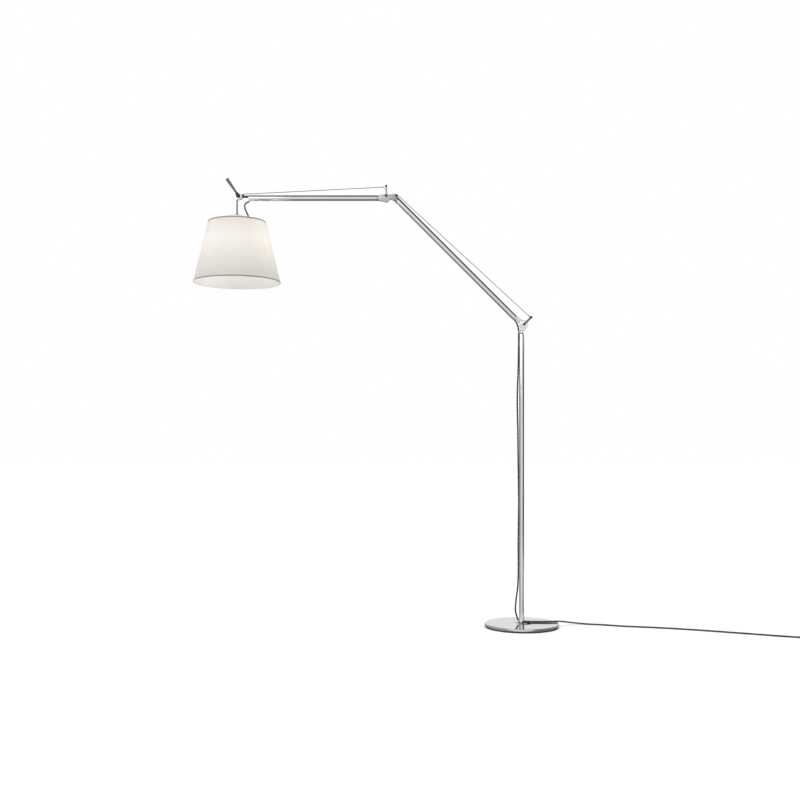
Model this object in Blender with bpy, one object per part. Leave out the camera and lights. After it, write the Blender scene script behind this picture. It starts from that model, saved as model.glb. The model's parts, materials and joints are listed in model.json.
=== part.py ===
"""Adjustable arm floor lamp: a pole on a weighted round base, two spring-balanced arms and a shade.

Metres, +Z up. The origin is the centre of the base, on the floor. Both arms swing in the XZ plane
and reach towards -X. In an arm's own frame x runs along the arm and z points to its wire's side.
"""

import math

import bmesh
import bpy
from mathutils import Matrix, Vector, geometry

GAP = 0.0003
SIDES = 28
SMALL_SIDES = 14
WIDE_SIDES = 64

# Base and pole
BASE_RADIUS = 0.1775
BASE_TOP = 0.0185
BASE_ROUND = 0.004
COVER_WALL = 0.0015
COVER_BOTTOM = 0.0060
PAD_RADIUS = 0.1755
PAD_RIM, PAD_RIM_TOP = 0.1580, 0.0055
PAD_TOP = 0.0020
WASHER_TOP = 0.0080
POLE_RADIUS = 0.0120
POLE_WALL = 0.0012
POLE_TOP = 1.417

# Pivots: the knee on the pole, the elbow between the arms, the head at the tip
KNEE = Vector((0.0097, 0, 1.4617))
LOWER_ARM_LIFT = math.radians(45)
ELBOW_ALONG, ELBOW_ACROSS = 0.9107, -0.0298
HEAD_ALONG, HEAD_ACROSS = 0.7107, -0.0046
PIN_RADIUS = 0.0040
PIN_HOLE = 0.0043
PIN_HEAD = 0.0056
LEVER = 0.0490

# Arms
ARM_RADIUS = 0.0135
ARM_WALL = 0.0012
PLUG_RADIUS = 0.0119
LOWER_AXIS = -0.0065
LOWER_START, LOWER_END = 0.0540, 0.8550
UPPER_AXIS = -0.0099
UPPER_START, UPPER_END = 0.0467, 0.6647
WIRE_RADIUS = 0.0012
SPRING_INNER, SPRING_OUTER = 0.0060, 0.0085
LOWER_PULLEY = Vector((0.8782, 0, 0.0062))
TIP_PULLEY = Vector((0.6927, 0, 0.0035))

# Head, measured from the head pivot
HANDLE_ANGLE = math.radians(124.4)
HANDLE_START, HANDLE_LENGTH = 0.0303, 0.078
DISC_RADIUS = 0.0145
STEM_RADIUS = 0.0038
SHADE_SHIFT = -0.0110
SHADE_TOP, SHADE_BOTTOM = -0.120, -0.415
SHADE_TOP_RADIUS, SHADE_BOTTOM_RADIUS = 0.138, 0.209
SHADE_WALL = 0.0012
TRIM_HEIGHT = 0.0065
TRIM_WALL = 0.0008

# Cables
CABLE_RADIUS = 0.0036
SWITCH_CENTRE = Vector((1.335, -0.300, 0))
SWITCH_LENGTH, SWITCH_WIDTH, SWITCH_SPLIT, SWITCH_TOP = 0.078, 0.046, 0.010, 0.0205
COIL_CENTRE = Vector((1.422, -0.2615, 0))
COIL_RADIUS, COIL_HALF_WIDTH, COIL_HEIGHT = 0.0385, 0.0074, 0.0146

ALONG_X = Matrix.Rotation(math.radians(90), 4, "Y")
ALONG_Y = Matrix.Rotation(math.radians(-90), 4, "X")

PAINTS = {
    "polished_aluminium": ((0.80, 0.80, 0.81), 0.16, 1.0),
    "satin_aluminium": ((0.62, 0.62, 0.63), 0.32, 1.0),
    "steel": ((0.56, 0.56, 0.57), 0.30, 1.0),
    "cast_iron": ((0.12, 0.12, 0.12), 0.70, 0.6),
    "black_plastic": ((0.02, 0.02, 0.02), 0.40, 0.0),
    "white_enamel": ((0.90, 0.90, 0.89), 0.35, 0.0),
    "brown_plastic": ((0.10, 0.07, 0.05), 0.45, 0.0),
    "grey_handle": ((0.30, 0.30, 0.31), 0.38, 0.8),
    "shade_fabric": ((0.88, 0.84, 0.78), 0.85, 0.0),
    "shade_trim": ((0.62, 0.61, 0.58), 0.70, 0.0),
    "cable_grey": ((0.13, 0.13, 0.135), 0.55, 0.0),
    "opal_glass": ((0.95, 0.93, 0.88), 0.25, 0.0),
    "rubber": ((0.03, 0.03, 0.03), 0.80, 0.0),
}


def make_paint(name):
    colour, roughness, metallic = PAINTS[name]
    paint = bpy.data.materials.new(name)
    paint.use_nodes = True
    shader = paint.node_tree.nodes["Principled BSDF"]
    shader.inputs["Base Color"].default_value = (*colour, 1)
    shader.inputs["Roughness"].default_value = roughness
    shader.inputs["Metallic"].default_value = metallic
    return paint


def joint_axis(name, parent, place):
    """An empty on a joint's axis, which carries the pieces of one moving body."""
    empty = bpy.data.objects.new(name, None)
    bpy.context.collection.objects.link(empty)
    empty.empty_display_size = 0.05
    empty.parent = parent
    empty.matrix_local = place
    return empty


def add_piece(name, bm, paint, parent, place):
    bmesh.ops.recalc_face_normals(bm, faces=bm.faces)
    mesh = bpy.data.meshes.new(name)
    bm.to_mesh(mesh)
    bm.free()
    mesh.shade_smooth()
    mesh.set_sharp_from_angle(angle=math.radians(35))
    mesh.materials.append(bpy.data.materials.get(paint) or make_paint(paint))
    piece = bpy.data.objects.new(name, mesh)
    bpy.context.collection.objects.link(piece)
    piece.parent = parent
    piece.matrix_local = place
    return piece


def turned(name, outline, paint, parent=None, place=Matrix(), sides=SIDES):
    """A body turned about its own z. The outline holds (radius, height) corners."""
    bm = bmesh.new()
    corners = [bm.verts.new((radius, 0, height)) for radius, height in outline]
    pairs = list(zip(corners, corners[1:]))
    if outline[0][0] > 0 or outline[-1][0] > 0:
        pairs.append((corners[-1], corners[0]))
    for pair in pairs:
        bm.edges.new(pair)
    profile = bm.verts[:] + bm.edges[:]
    bmesh.ops.spin(
        bm, geom=profile, cent=(0, 0, 0), axis=(0, 0, 1), angle=math.tau, steps=sides, use_merge=True
    )
    bmesh.ops.remove_doubles(bm, verts=bm.verts, dist=1e-6)
    return add_piece(name, bm, paint, parent, place)


def rod(name, radius, low, high, paint, parent=None, place=Matrix(), sides=SMALL_SIDES):
    outline = [(0, low), (radius, low), (radius, high), (0, high)]
    return turned(name, outline, paint, parent, place, sides)


def ring(name, inner, outer, low, high, paint, parent=None, place=Matrix(), sides=SIDES):
    outline = [(inner, low), (outer, low), (outer, high), (inner, high)]
    return turned(name, outline, paint, parent, place, sides)


def pin(name, shaft, head, reach, tip, paint, parent, place, sides=SMALL_SIDES):
    """A pin with a round head at both ends: the shaft runs to reach, the heads from there to tip."""
    upper = [(shaft, reach), (head, reach), (0.8 * head, tip), (0, tip)]
    lower = [(radius, -height) for radius, height in reversed(upper)]
    return turned(name, lower + upper, paint, parent, place, sides)


def outline_around(circles, steps=SIDES):
    """The tightest outline around circles given as (x, z, radius)."""
    points = [
        Vector((x + radius * math.cos(turn), z + radius * math.sin(turn)))
        for x, z, radius in circles
        for turn in (math.tau * step / steps for step in range(steps))
    ]
    return [points[index] for index in geometry.convex_hull_2d(points)]


def plate(name, circles, low, high, paint, parent=None, place=Matrix(), steps=24):
    """A flat plate in the xz plane, from y = low to y = high, around the circles."""
    bm = bmesh.new()
    face = bm.faces.new([bm.verts.new((p.x, low, p.y)) for p in outline_around(circles, steps)])
    grown = bmesh.ops.extrude_face_region(bm, geom=[face])["geom"]
    moved = [item for item in grown if isinstance(item, bmesh.types.BMVert)]
    bmesh.ops.translate(bm, verts=moved, vec=(0, high - low, 0))
    return add_piece(name, bm, paint, parent, place)


def block(name, low, high, paint, parent=None, place=Matrix(), round_edge=0):
    bm = bmesh.new()
    bmesh.ops.create_cube(bm, size=1)
    size = [b - a for a, b in zip(low, high)]
    middle = [(a + b) / 2 for a, b in zip(low, high)]
    bmesh.ops.scale(bm, verts=bm.verts, vec=size)
    bmesh.ops.translate(bm, verts=bm.verts, vec=middle)
    if round_edge:
        upright = [edge for edge in bm.edges if abs((edge.verts[0].co - edge.verts[1].co).z) > 1e-6]
        bmesh.ops.bevel(bm, geom=upright, offset=round_edge, segments=5, affect="EDGES", profile=0.5)
    return add_piece(name, bm, paint, parent, place)


def helper(piece):
    piece.hide_render = True
    piece.display_type = "WIRE"
    return piece


def combine(piece, other, operation):
    """Add another shape to a piece, or cut it out, and keep that shape as a hidden helper."""
    modifier = piece.modifiers.new(f"{operation.lower()} {other.name}", "BOOLEAN")
    modifier.operation = operation
    modifier.solver = "EXACT"
    modifier.object = helper(other)


def add(piece, *others):
    for other in others:
        combine(piece, other, "UNION")


def cut(piece, *others):
    for other in others:
        combine(piece, other, "DIFFERENCE")


def drill(piece, radius, reach, spot):
    """A round hole along y through a piece, at (x, z) of its parent's frame."""
    place = Matrix.Translation((spot[0], 0, spot[1])) @ ALONG_Y
    cutter = rod(f"{piece.name}_drill", radius, -reach, reach, "steel", piece.parent, place)
    cut(piece, cutter)


def smooth_route(points, count):
    """Evenly spaced points on one smooth curve through the route's own points."""
    ends = [2 * points[0] - points[1], *points, 2 * points[-1] - points[-2]]
    fine = []
    for before, start, stop, after in zip(ends, ends[1:], ends[2:], ends[3:]):
        for step in range(40):
            t = step / 40
            fine.append(
                0.5
                * (
                    2 * start
                    + (stop - before) * t
                    + (2 * before - 5 * start + 4 * stop - after) * t**2
                    + (3 * start - before - 3 * stop + after) * t**3
                )
            )
    fine.append(points[-1])
    travelled = [0.0]
    for here, there in zip(fine, fine[1:]):
        travelled.append(travelled[-1] + (there - here).length)
    even, index = [], 0
    for number in range(count):
        target = travelled[-1] * number / (count - 1)
        while index < len(fine) - 2 and travelled[index + 1] < target:
            index += 1
        share = (target - travelled[index]) / (travelled[index + 1] - travelled[index])
        even.append(fine[index].lerp(fine[index + 1], min(max(share, 0), 1)))
    return even


def cable(name, route, count, radius=CABLE_RADIUS, paint="cable_grey"):
    curve = bpy.data.curves.new(name, "CURVE")
    curve.dimensions = "3D"
    curve.bevel_depth = radius
    curve.bevel_resolution = 2
    curve.use_fill_caps = True
    spline = curve.splines.new("POLY")
    points = smooth_route([Vector(point) for point in route], count)
    spline.points.add(len(points) - 1)
    for target, point in zip(spline.points, points):
        target.co = (*point, 1)
    curve.materials.append(bpy.data.materials.get(paint) or make_paint(paint))
    piece = bpy.data.objects.new(name, curve)
    bpy.context.collection.objects.link(piece)
    return piece


def build_base():
    ring_inner = POLE_RADIUS + GAP
    inner_radius = BASE_RADIUS - COVER_WALL
    inner_top = BASE_TOP - COVER_WALL
    pad = [(0, 0), (PAD_RADIUS, 0), (PAD_RADIUS, PAD_RIM_TOP), (PAD_RIM, PAD_RIM_TOP)]
    pad += [(PAD_RIM, PAD_TOP), (0, PAD_TOP)]
    turned("base_pad", pad, "rubber", sides=WIDE_SIDES)
    arc = [
        (
            BASE_RADIUS - BASE_ROUND + BASE_ROUND * math.cos(turn),
            BASE_TOP - BASE_ROUND + BASE_ROUND * math.sin(turn),
        )
        for turn in (math.radians(90 * step / 3) for step in range(4))
    ]
    cover = [(inner_radius, COVER_BOTTOM), (BASE_RADIUS, COVER_BOTTOM), *arc]
    cover += [(ring_inner, BASE_TOP), (ring_inner, inner_top)]
    cover += [(inner_radius - BASE_ROUND / 2, inner_top), (inner_radius, inner_top - BASE_ROUND / 2)]
    turned("base_cover", cover, "polished_aluminium", sides=WIDE_SIDES)
    bore, counterbore = ring_inner, 0.0165
    weight_radius, weight_top = inner_radius - GAP, inner_top - GAP
    weight = [
        (counterbore, PAD_TOP + GAP),
        (PAD_RIM - 0.0010, PAD_TOP + GAP),
        (PAD_RIM - 0.0010, PAD_RIM_TOP + GAP),
        (weight_radius, PAD_RIM_TOP + GAP),
        (weight_radius, weight_top - 0.0027),
        (weight_radius - 0.0027, weight_top),
        (bore, weight_top),
        (bore, WASHER_TOP + GAP),
        (counterbore, WASHER_TOP + GAP),
    ]
    turned("base_weight", weight, "cast_iron", sides=WIDE_SIDES)
    ring("pole_washer", 0.0053, 0.0158, 0.0055, WASHER_TOP, "steel", sides=SMALL_SIDES)
    bolt = [(0, 0.0026), (0.0085, 0.0026), (0.0085, 0.0052), (0.0050, 0.0052), (0.0050, 0.040), (0, 0.040)]
    turned("pole_bolt", bolt, "steel", sides=SMALL_SIDES)


def build_pole():
    inner = POLE_RADIUS - POLE_WALL
    bottom = WASHER_TOP + GAP
    ring("pole_tube", inner, POLE_RADIUS, bottom, POLE_TOP, "polished_aluminium")
    ring("pole_plug", 0.0053, inner - GAP, bottom, 0.045, "steel", sides=SMALL_SIDES)
    bush = [
        (0.0045, POLE_TOP - 0.032),
        (inner - GAP, POLE_TOP - 0.032),
        (inner - GAP, POLE_TOP + GAP),
        (POLE_RADIUS - 0.0006, POLE_TOP + GAP),
        (POLE_RADIUS - 0.0016, POLE_TOP + 0.003),
        (0.0045, POLE_TOP + 0.003),
    ]
    turned("pole_top_bush", bush, "satin_aluminium")
    low = (-0.0084, POLE_RADIUS + GAP, BASE_TOP + GAP)
    block("foot_clip", low, (0.0084, 0.0235, 0.033), "black_plastic", round_edge=0.003)


def build_knee(swivel):
    """The bracket that turns on the pole, with the knee's pin and the lower wire's lever."""
    knee = (KNEE.x, KNEE.z - POLE_TOP)
    rod("swivel_pin", 0.0042, -0.031, 0.0235, "steel", swivel)
    bracket = plate("knee_bracket", [(*knee, 0.020)], -0.0165, 0.0165, "satin_aluminium", swivel)
    floor = knee[1] - 0.0162
    cut(bracket, block("knee_slot", (-0.02, -0.0125, floor), (0.04, 0.0125, 0.08), "steel", swivel))
    foot = [(0, 0.0205, 0.0066), (knee[0] + 0.003, 0.0228, 0.0055)]
    add(bracket, plate("knee_foot", foot, -0.0150, 0.0150, "steel", swivel))
    add(bracket, rod("knee_neck", 0.0064, 0.0033, 0.0215, "steel", swivel))
    cut(bracket, rod("knee_bore", 0.0045, 0.0001, 0.0240, "steel", swivel))
    drill(bracket, PIN_HOLE, 0.03, knee)
    axis = Matrix.Translation((knee[0], 0, knee[1])) @ ALONG_Y
    for side, sign in (("front", -1), ("back", 1)):
        low, high = sorted((sign * 0.0110, sign * 0.0122))
        ring(f"knee_washer_{side}", 0.0045, 0.0090, low, high, "steel", swivel, axis, SMALL_SIDES)
    pin("knee_pin", PIN_RADIUS, PIN_HEAD, 0.0202, 0.0236, "black_plastic", swivel, axis)
    tip = (knee[0] + LEVER * math.sin(math.pi / 4), knee[1] + LEVER * math.sin(math.pi / 4))
    for side, sign in (("front", -1), ("back", 1)):
        low, high = sorted((sign * 0.0168, sign * 0.0198))
        circles = [(*knee, 0.0057), (*tip, 0.0050)]
        lever = plate(f"knee_lever_{side}", circles, low, high, "steel", swivel)
        drill(lever, PIN_HOLE, 0.03, knee)
        drill(lever, 0.0024, 0.03, tip)
    axis = Matrix.Translation((tip[0], 0, tip[1])) @ ALONG_Y
    pin("knee_lever_pin", 0.0021, 0.0058, 0.0201, 0.0230, "black_plastic", swivel, axis)
    low, high = (-0.0168, 0.0050, 0.0045), (-0.0052, 0.0142, 0.0125)
    block("neck_clip", low, high, "black_plastic", swivel, round_edge=0.002)


def tube_with_spring(side, parent, axis_height, start, end, spring_start, spring_end):
    place = Matrix.Translation((0, 0, axis_height)) @ ALONG_X
    inner = ARM_RADIUS - ARM_WALL
    ring(f"{side}_tube", inner, ARM_RADIUS, start, end, "polished_aluminium", parent, place)
    ring(f"{side}_spring", SPRING_INNER, SPRING_OUTER, spring_start, spring_end, "steel", parent, place)


def wire(name, start, end, parent):
    run = end - start
    turn = run.to_track_quat("Z", "Y").to_matrix().to_4x4()
    rod(name, WIRE_RADIUS, 0, run.length, "steel", parent, Matrix.Translation(start) @ turn, sides=8)


def pulley(name, radius, half_width, bore, spot, parent):
    groove, rim = radius - 1.1 * WIRE_RADIUS, 0.25 * half_width
    outline = [
        (bore, -half_width),
        (radius, -half_width),
        (radius, -half_width + rim),
        (groove, 0),
        (radius, half_width - rim),
        (radius, half_width),
        (bore, half_width),
    ]
    turned(name, outline, "black_plastic", parent, Matrix.Translation(spot) @ ALONG_Y, SMALL_SIDES)


def build_lower_arm(knee):
    place = Matrix.Translation((0, 0, LOWER_AXIS)) @ ALONG_X
    tube_with_spring("lower", knee, LOWER_AXIS, LOWER_START, LOWER_END, 0.0853, 0.60)
    circles = [(0, 0, 0.0120), (0.0474, 0.0002, 0.0060)]
    heel = plate("lower_heel", circles, -0.0107, 0.0107, "satin_aluminium", knee)
    add(heel, rod("heel_plug", PLUG_RADIUS, 0.0500, 0.0850, "steel", knee, place, SIDES))
    drill(heel, PIN_HOLE, 0.03, (0, 0))
    cable_way = Matrix.Translation((0, 0, LOWER_AXIS - 0.0072)) @ ALONG_X
    cut(heel, rod("heel_cable_hole", 0.0040, 0.0450, 0.0900, "steel", knee, cable_way))

    elbow = (ELBOW_ALONG, ELBOW_ACROSS)
    pulley_spot = (LOWER_PULLEY.x, LOWER_PULLEY.z)
    cap_start, cap_end = LOWER_END + GAP, 0.8700
    head = rod("lower_head", ARM_RADIUS, cap_start, cap_end, "satin_aluminium", knee, place, SIDES)
    add(head, rod("head_plug", PLUG_RADIUS, 0.8250, cap_start + 0.003, "steel", knee, place, SIDES))
    circles = [(*pulley_spot, 0.0066), (*elbow, 0.0066), (cap_end - 0.004, LOWER_AXIS, 0.0118)]
    link = plate("link_plates", circles, -0.0070, 0.0070, "steel", knee)
    slot_low, slot_high = (cap_end + 0.0012, -0.0036, -0.06), (0.94, 0.0036, 0.04)
    cut(link, block("link_slot", slot_low, slot_high, "steel", knee))
    keep_low, keep_high = (0.80, -0.02, -0.06), (cap_start + 0.0012, 0.02, 0.06)
    cut(link, block("link_end", keep_low, keep_high, "steel", knee))
    add(head, link)
    drill(head, PIN_HOLE, 0.03, elbow)
    drill(head, 0.0019, 0.03, pulley_spot)
    pulley("lower_pulley", 0.0050, 0.0032, 0.0018, LOWER_PULLEY, knee)
    axis = Matrix.Translation(LOWER_PULLEY) @ ALONG_Y
    pin("lower_pulley_pin", 0.0015, 0.0054, 0.0073, 0.0100, "black_plastic", knee, axis)

    rise = LEVER * math.sin(math.pi / 4)
    tip = (elbow[0] + rise, elbow[1] + rise)
    lever = plate("elbow_lever", [(*elbow, 0.0060), (*tip, 0.0040)], -0.0030, 0.0030, "steel", knee)
    drill(lever, PIN_HOLE, 0.02, elbow)
    drill(lever, 0.0021, 0.02, tip)
    axis = Matrix.Translation((tip[0], 0, tip[1])) @ ALONG_Y
    pin("elbow_lever_pin", 0.0018, 0.0052, 0.0033, 0.0064, "black_plastic", knee, axis)
    axis = Matrix.Translation((elbow[0], 0, elbow[1])) @ ALONG_Y
    pin("elbow_pin", PIN_RADIUS, PIN_HEAD, 0.0113, 0.0148, "black_plastic", knee, axis)

    start = Vector((0.0026, 0, LEVER - 0.0001))
    end = LOWER_PULLEY + Vector((-0.0040, 0, 0.0066))
    wire("lower_wire", start, end, knee)


def build_upper_arm(elbow):
    place = Matrix.Translation((0, 0, UPPER_AXIS)) @ ALONG_X
    tube_with_spring("upper", elbow, UPPER_AXIS, UPPER_START, UPPER_END, 0.0803, 0.50)
    cap_end = UPPER_START - GAP
    fork = rod("upper_fork", ARM_RADIUS, 0.0370, cap_end, "satin_aluminium", elbow, place, SIDES)
    add(fork, rod("fork_plug", PLUG_RADIUS, cap_end - 0.003, 0.0800, "steel", elbow, place, SIDES))
    circles = [(0, 0, 0.0085), (-0.0165, -0.0130, 0.0040), (-0.0045, -0.0255, 0.0040)]
    circles.append((0.0310, UPPER_AXIS, 0.0125))
    cheeks = plate("fork_cheeks", circles, -0.0110, 0.0110, "steel", elbow)
    cut(cheeks, block("fork_slot", (-0.04, -0.0076, -0.05), (0.0358, 0.0076, 0.05), "steel", elbow))
    add(fork, cheeks)
    drill(fork, PIN_HOLE, 0.02, (0, 0))

    inner_end = UPPER_END - 0.0350
    tip = rod("upper_tip", PLUG_RADIUS, inner_end, UPPER_END - 0.001, "black_plastic", elbow, place, SIDES)
    spigot = Matrix.Translation((0, 0, -0.0030)) @ ALONG_X
    add(tip, rod("tip_spigot", 0.0054, UPPER_END - 0.006, 0.6950, "steel", elbow, spigot))
    eye = [(0.6940, -0.0032, 0.0050), (HEAD_ALONG, HEAD_ACROSS, 0.0075)]
    add(tip, plate("tip_eye", eye, -0.0045, 0.0045, "steel", elbow))
    lug = [(TIP_PULLEY.x, TIP_PULLEY.z, 0.0036), (TIP_PULLEY.x, -0.0030, 0.0042)]
    add(tip, plate("tip_lug", lug, -0.0040, 0.0040, "steel", elbow))
    slot_low = (TIP_PULLEY.x - 0.0060, -0.0023, -0.0018)
    slot_high = (TIP_PULLEY.x + 0.0060, 0.0023, 0.02)
    cut(tip, block("tip_slot", slot_low, slot_high, "steel", elbow))
    drill(tip, 0.0033, 0.02, (HEAD_ALONG, HEAD_ACROSS))
    drill(tip, 0.0016, 0.02, (TIP_PULLEY.x, TIP_PULLEY.z))
    pulley("tip_pulley", 0.0048, 0.0019, 0.0016, TIP_PULLEY, elbow)
    axis = Matrix.Translation(TIP_PULLEY) @ ALONG_Y
    pin("tip_pulley_pin", 0.0012, 0.0028, 0.0048, 0.0062, "steel", elbow, axis)

    lever_tip = Vector((0.0062, 0, LEVER - 0.0055))
    wire("upper_wire", lever_tip, TIP_PULLEY + Vector((-0.0020, 0, 0.0064)), elbow)


def build_head_joint(head):
    fork = plate("head_fork", [(0, 0, DISC_RADIUS)], -0.0080, 0.0080, "polished_aluminium", head)
    cut(fork, block("head_slot", (-0.0095, -0.0050, -0.03), (0.03, 0.0050, 0.03), "steel", head))
    drill(fork, 0.0033, 0.02, (0, 0))
    along = Vector((math.cos(HANDLE_ANGLE), 0, math.sin(HANDLE_ANGLE)))
    neck = 0.0240 * along
    circles = [(-0.0040, 0.0035, 0.0100), (neck.x, neck.z, 0.0055)]
    clamp = plate("handle_clamp", circles, -0.0118, 0.0118, "black_plastic", head)
    cut(clamp, rod("clamp_slot", DISC_RADIUS + 0.0008, -0.0083, 0.0083, "steel", head, ALONG_Y, SIDES))
    drill(clamp, 0.0033, 0.02, (0, 0))
    pin("head_pin", 0.0030, 0.0048, 0.0121, 0.0142, "black_plastic", head, ALONG_Y)
    turn = along.to_track_quat("Z", "Y").to_matrix().to_4x4()
    outline = [(0, 0), (0.0046, 0), (0.0052, 0.002), (0.0080, HANDLE_LENGTH - 0.006)]
    outline += [(0.0074, HANDLE_LENGTH - 0.002), (0.0055, HANDLE_LENGTH), (0, HANDLE_LENGTH)]
    place = Matrix.Translation(HANDLE_START * along) @ turn
    turned("handle", outline, "grey_handle", head, place)


def cone_band(radius_at, inner, outer, low, high, steps=1):
    """The outline of a band that follows the shade's slope, from inner to outer off its outside."""
    heights = [low + (high - low) * step / steps for step in range(steps + 1)]
    rising = [(radius_at(height) + outer, height) for height in heights]
    falling = [(radius_at(height) + inner, height) for height in reversed(heights)]
    return rising + falling


def build_shade(head):
    centre = Matrix.Translation((SHADE_SHIFT, 0, 0))
    slope = (SHADE_BOTTOM_RADIUS - SHADE_TOP_RADIUS) / (SHADE_TOP - SHADE_BOTTOM)

    def radius_at(height):
        return SHADE_TOP_RADIUS + (SHADE_TOP - height) * slope

    rod("stem", STEM_RADIUS, SHADE_TOP - 0.022, -DISC_RADIUS + 0.0032, "satin_aluminium", head, centre)
    flange_low, flange_high = SHADE_TOP + 0.0306, SHADE_TOP + 0.0336
    bore = STEM_RADIUS + GAP
    ring("hub_flange", bore, 0.0165, flange_low, flange_high, "brown_plastic", head, centre)
    top = flange_low - GAP
    dome = [
        (bore, top),
        (bore, top - 0.0015),
        (0.030, top - 0.0035),
        (0.052, top - 0.0085),
        (0.0608, top - 0.0160),
        (0.0620, top - 0.0230),
        (0.0635, top - 0.0230),
        (0.0623, top - 0.0152),
        (0.053, top - 0.0070),
        (0.030, top - 0.0018),
    ]
    turned("shade_carrier", dome, "white_enamel", head, centre, 36)
    spider_top, spider_low = SHADE_TOP - 0.0015, SHADE_TOP - 0.0050
    wall = radius_at(SHADE_TOP - 0.004) - SHADE_WALL - GAP - 0.0005
    outline = [(wall - 0.003, spider_low), (wall - 0.0012, spider_low), (wall - 0.0012, spider_top)]
    outline.append((wall - 0.003, spider_top))
    spider = turned("shade_spider", outline, "white_enamel", head, centre, 48)
    add(spider, ring("spider_hub", bore, 0.013, spider_low, spider_top, "steel", head, centre))
    middle = (spider_top + spider_low) / 2
    for number in range(3):
        turn = Matrix.Rotation(math.radians(90 + 120 * number), 4, "Z")
        place = centre @ turn @ Matrix.Translation((0, 0, middle)) @ ALONG_X
        add(spider, rod(f"spider_arm_{number}", 0.0014, 0.010, wall - 0.002, "steel", head, place, 8))
    shade = cone_band(radius_at, -SHADE_WALL, 0, SHADE_BOTTOM, SHADE_TOP)
    turned("shade", shade, "shade_fabric", head, centre, WIDE_SIDES)
    for side, low in (("top", SHADE_TOP - TRIM_HEIGHT), ("bottom", SHADE_BOTTOM)):
        band = cone_band(radius_at, GAP, GAP + TRIM_WALL, low, low + TRIM_HEIGHT)
        turned(f"shade_{side}_trim", band, "shade_trim", head, centre, WIDE_SIDES)
    holder_top = spider_low - GAP
    holder = [
        (0.0041, holder_top),
        (0.0041, holder_top - 0.020),
        (0.0135, holder_top - 0.024),
        (0.0135, holder_top - 0.062),
        (0.0200, holder_top - 0.062),
        (0.0205, holder_top - 0.050),
        (0.0190, holder_top - 0.020),
        (0.0120, holder_top - 0.004),
        (0.0110, holder_top),
    ]
    turned("lampholder", holder, "white_enamel", head, centre, 24)
    neck_top = holder_top - 0.0265
    centre_drop = 0.082
    bulb = [(0, neck_top), (0.0125, neck_top), (0.0128, neck_top - 0.034)]
    bulb += [
        (0.030 * math.sin(math.radians(turn)), neck_top - centre_drop + 0.030 * math.cos(math.radians(turn)))
        for turn in range(36, 180, 24)
    ]
    bulb.append((0, neck_top - centre_drop - 0.030))
    turned("bulb_glass", bulb, "opal_glass", head, centre, 24)


def build_cables():
    mast = [
        (-0.0126, 0.0096, 1.4210),
        (-0.0128, 0.0099, 1.3950),
        (-0.0132, 0.0100, 1.3500),
        (-0.0160, 0.0050, 1.2430),
        (-0.0208, 0.0020, 1.0980),
        (-0.0180, 0.0030, 0.9520),
        (-0.0162, 0.0045, 0.8070),
        (-0.0130, 0.0100, 0.6140),
        (-0.0155, 0.0060, 0.4200),
        (-0.0165, 0.0040, 0.2260),
        (-0.0262, 0.0060, 0.1300),
        (-0.0290, 0.0110, 0.0810),
        (-0.0215, 0.0165, 0.0480),
        (-0.0170, 0.0180, 0.0360),
        (-0.0124, 0.0182, 0.0290),
    ]
    cable("mast_cable", mast, 66)
    mains = [
        (0.0093, 0.0170, 0.0262),
        (0.0180, 0.0165, 0.0235),
        (0.0350, 0.0190, 0.0225),
        (0.0900, 0.0150, 0.0224),
        (0.1350, 0.0160, 0.0225),
        (0.1720, 0.0250, 0.0226),
        (0.2000, 0.0360, 0.0198),
        (0.2260, 0.0460, 0.0155),
        (0.2600, 0.0560, 0.0100),
        (0.2980, 0.0600, 0.0060),
        (0.3450, 0.0520, 0.0039),
        (0.4050, 0.0340, 0.0039),
        (0.5000, -0.0040, 0.0039),
        (0.6100, -0.0330, 0.0039),
        (0.7300, -0.0700, 0.0039),
        (0.8500, -0.1180, 0.0039),
        (0.9700, -0.1720, 0.0039),
        (1.0800, -0.2230, 0.0039),
        (1.1750, -0.2670, 0.0039),
        (1.2400, -0.2920, 0.0045),
        (1.2720, -0.2996, 0.0085),
        (1.2952, -0.3000, 0.0100),
    ]
    cable("mains_cord", mains, 62)
    knee_cable = [
        (-0.0424, 0.0000, 1.4944),
        (-0.0382, 0.0000, 1.4902),
        (-0.0335, 0.0000, 1.4850),
        (-0.0272, 0.0008, 1.4760),
        (-0.0216, 0.0028, 1.4660),
        (-0.0174, 0.0055, 1.4540),
        (-0.0147, 0.0078, 1.4430),
        (-0.0132, 0.0091, 1.4360),
        (-0.0126, 0.0096, 1.4302),
    ]
    cable("knee_cable", knee_cable, 10)
    elbow_cable = [
        (-0.6215, 0.0000, 2.0730),
        (-0.6330, 0.0000, 2.0720),
        (-0.6480, 0.0000, 2.0690),
        (-0.6700, 0.0000, 2.0680),
        (-0.6840, 0.0000, 2.0700),
        (-0.6905, 0.0000, 2.0715),
    ]
    cable("elbow_cable", elbow_cable, 10, radius=0.0026)
    head_cable = [
        (-1.3170, 0.0000, 2.0566),
        (-1.3215, 0.0000, 2.0560),
        (-1.3330, 0.0000, 2.0520),
        (-1.3400, 0.0000, 2.0400),
        (-1.3385, 0.0000, 2.0260),
        (-1.3310, 0.0000, 2.0060),
        (-1.3250, 0.0000, 1.9930),
        (-1.3235, 0.0000, 1.9860),
    ]
    cable("head_cable", head_cable, 14)


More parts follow.
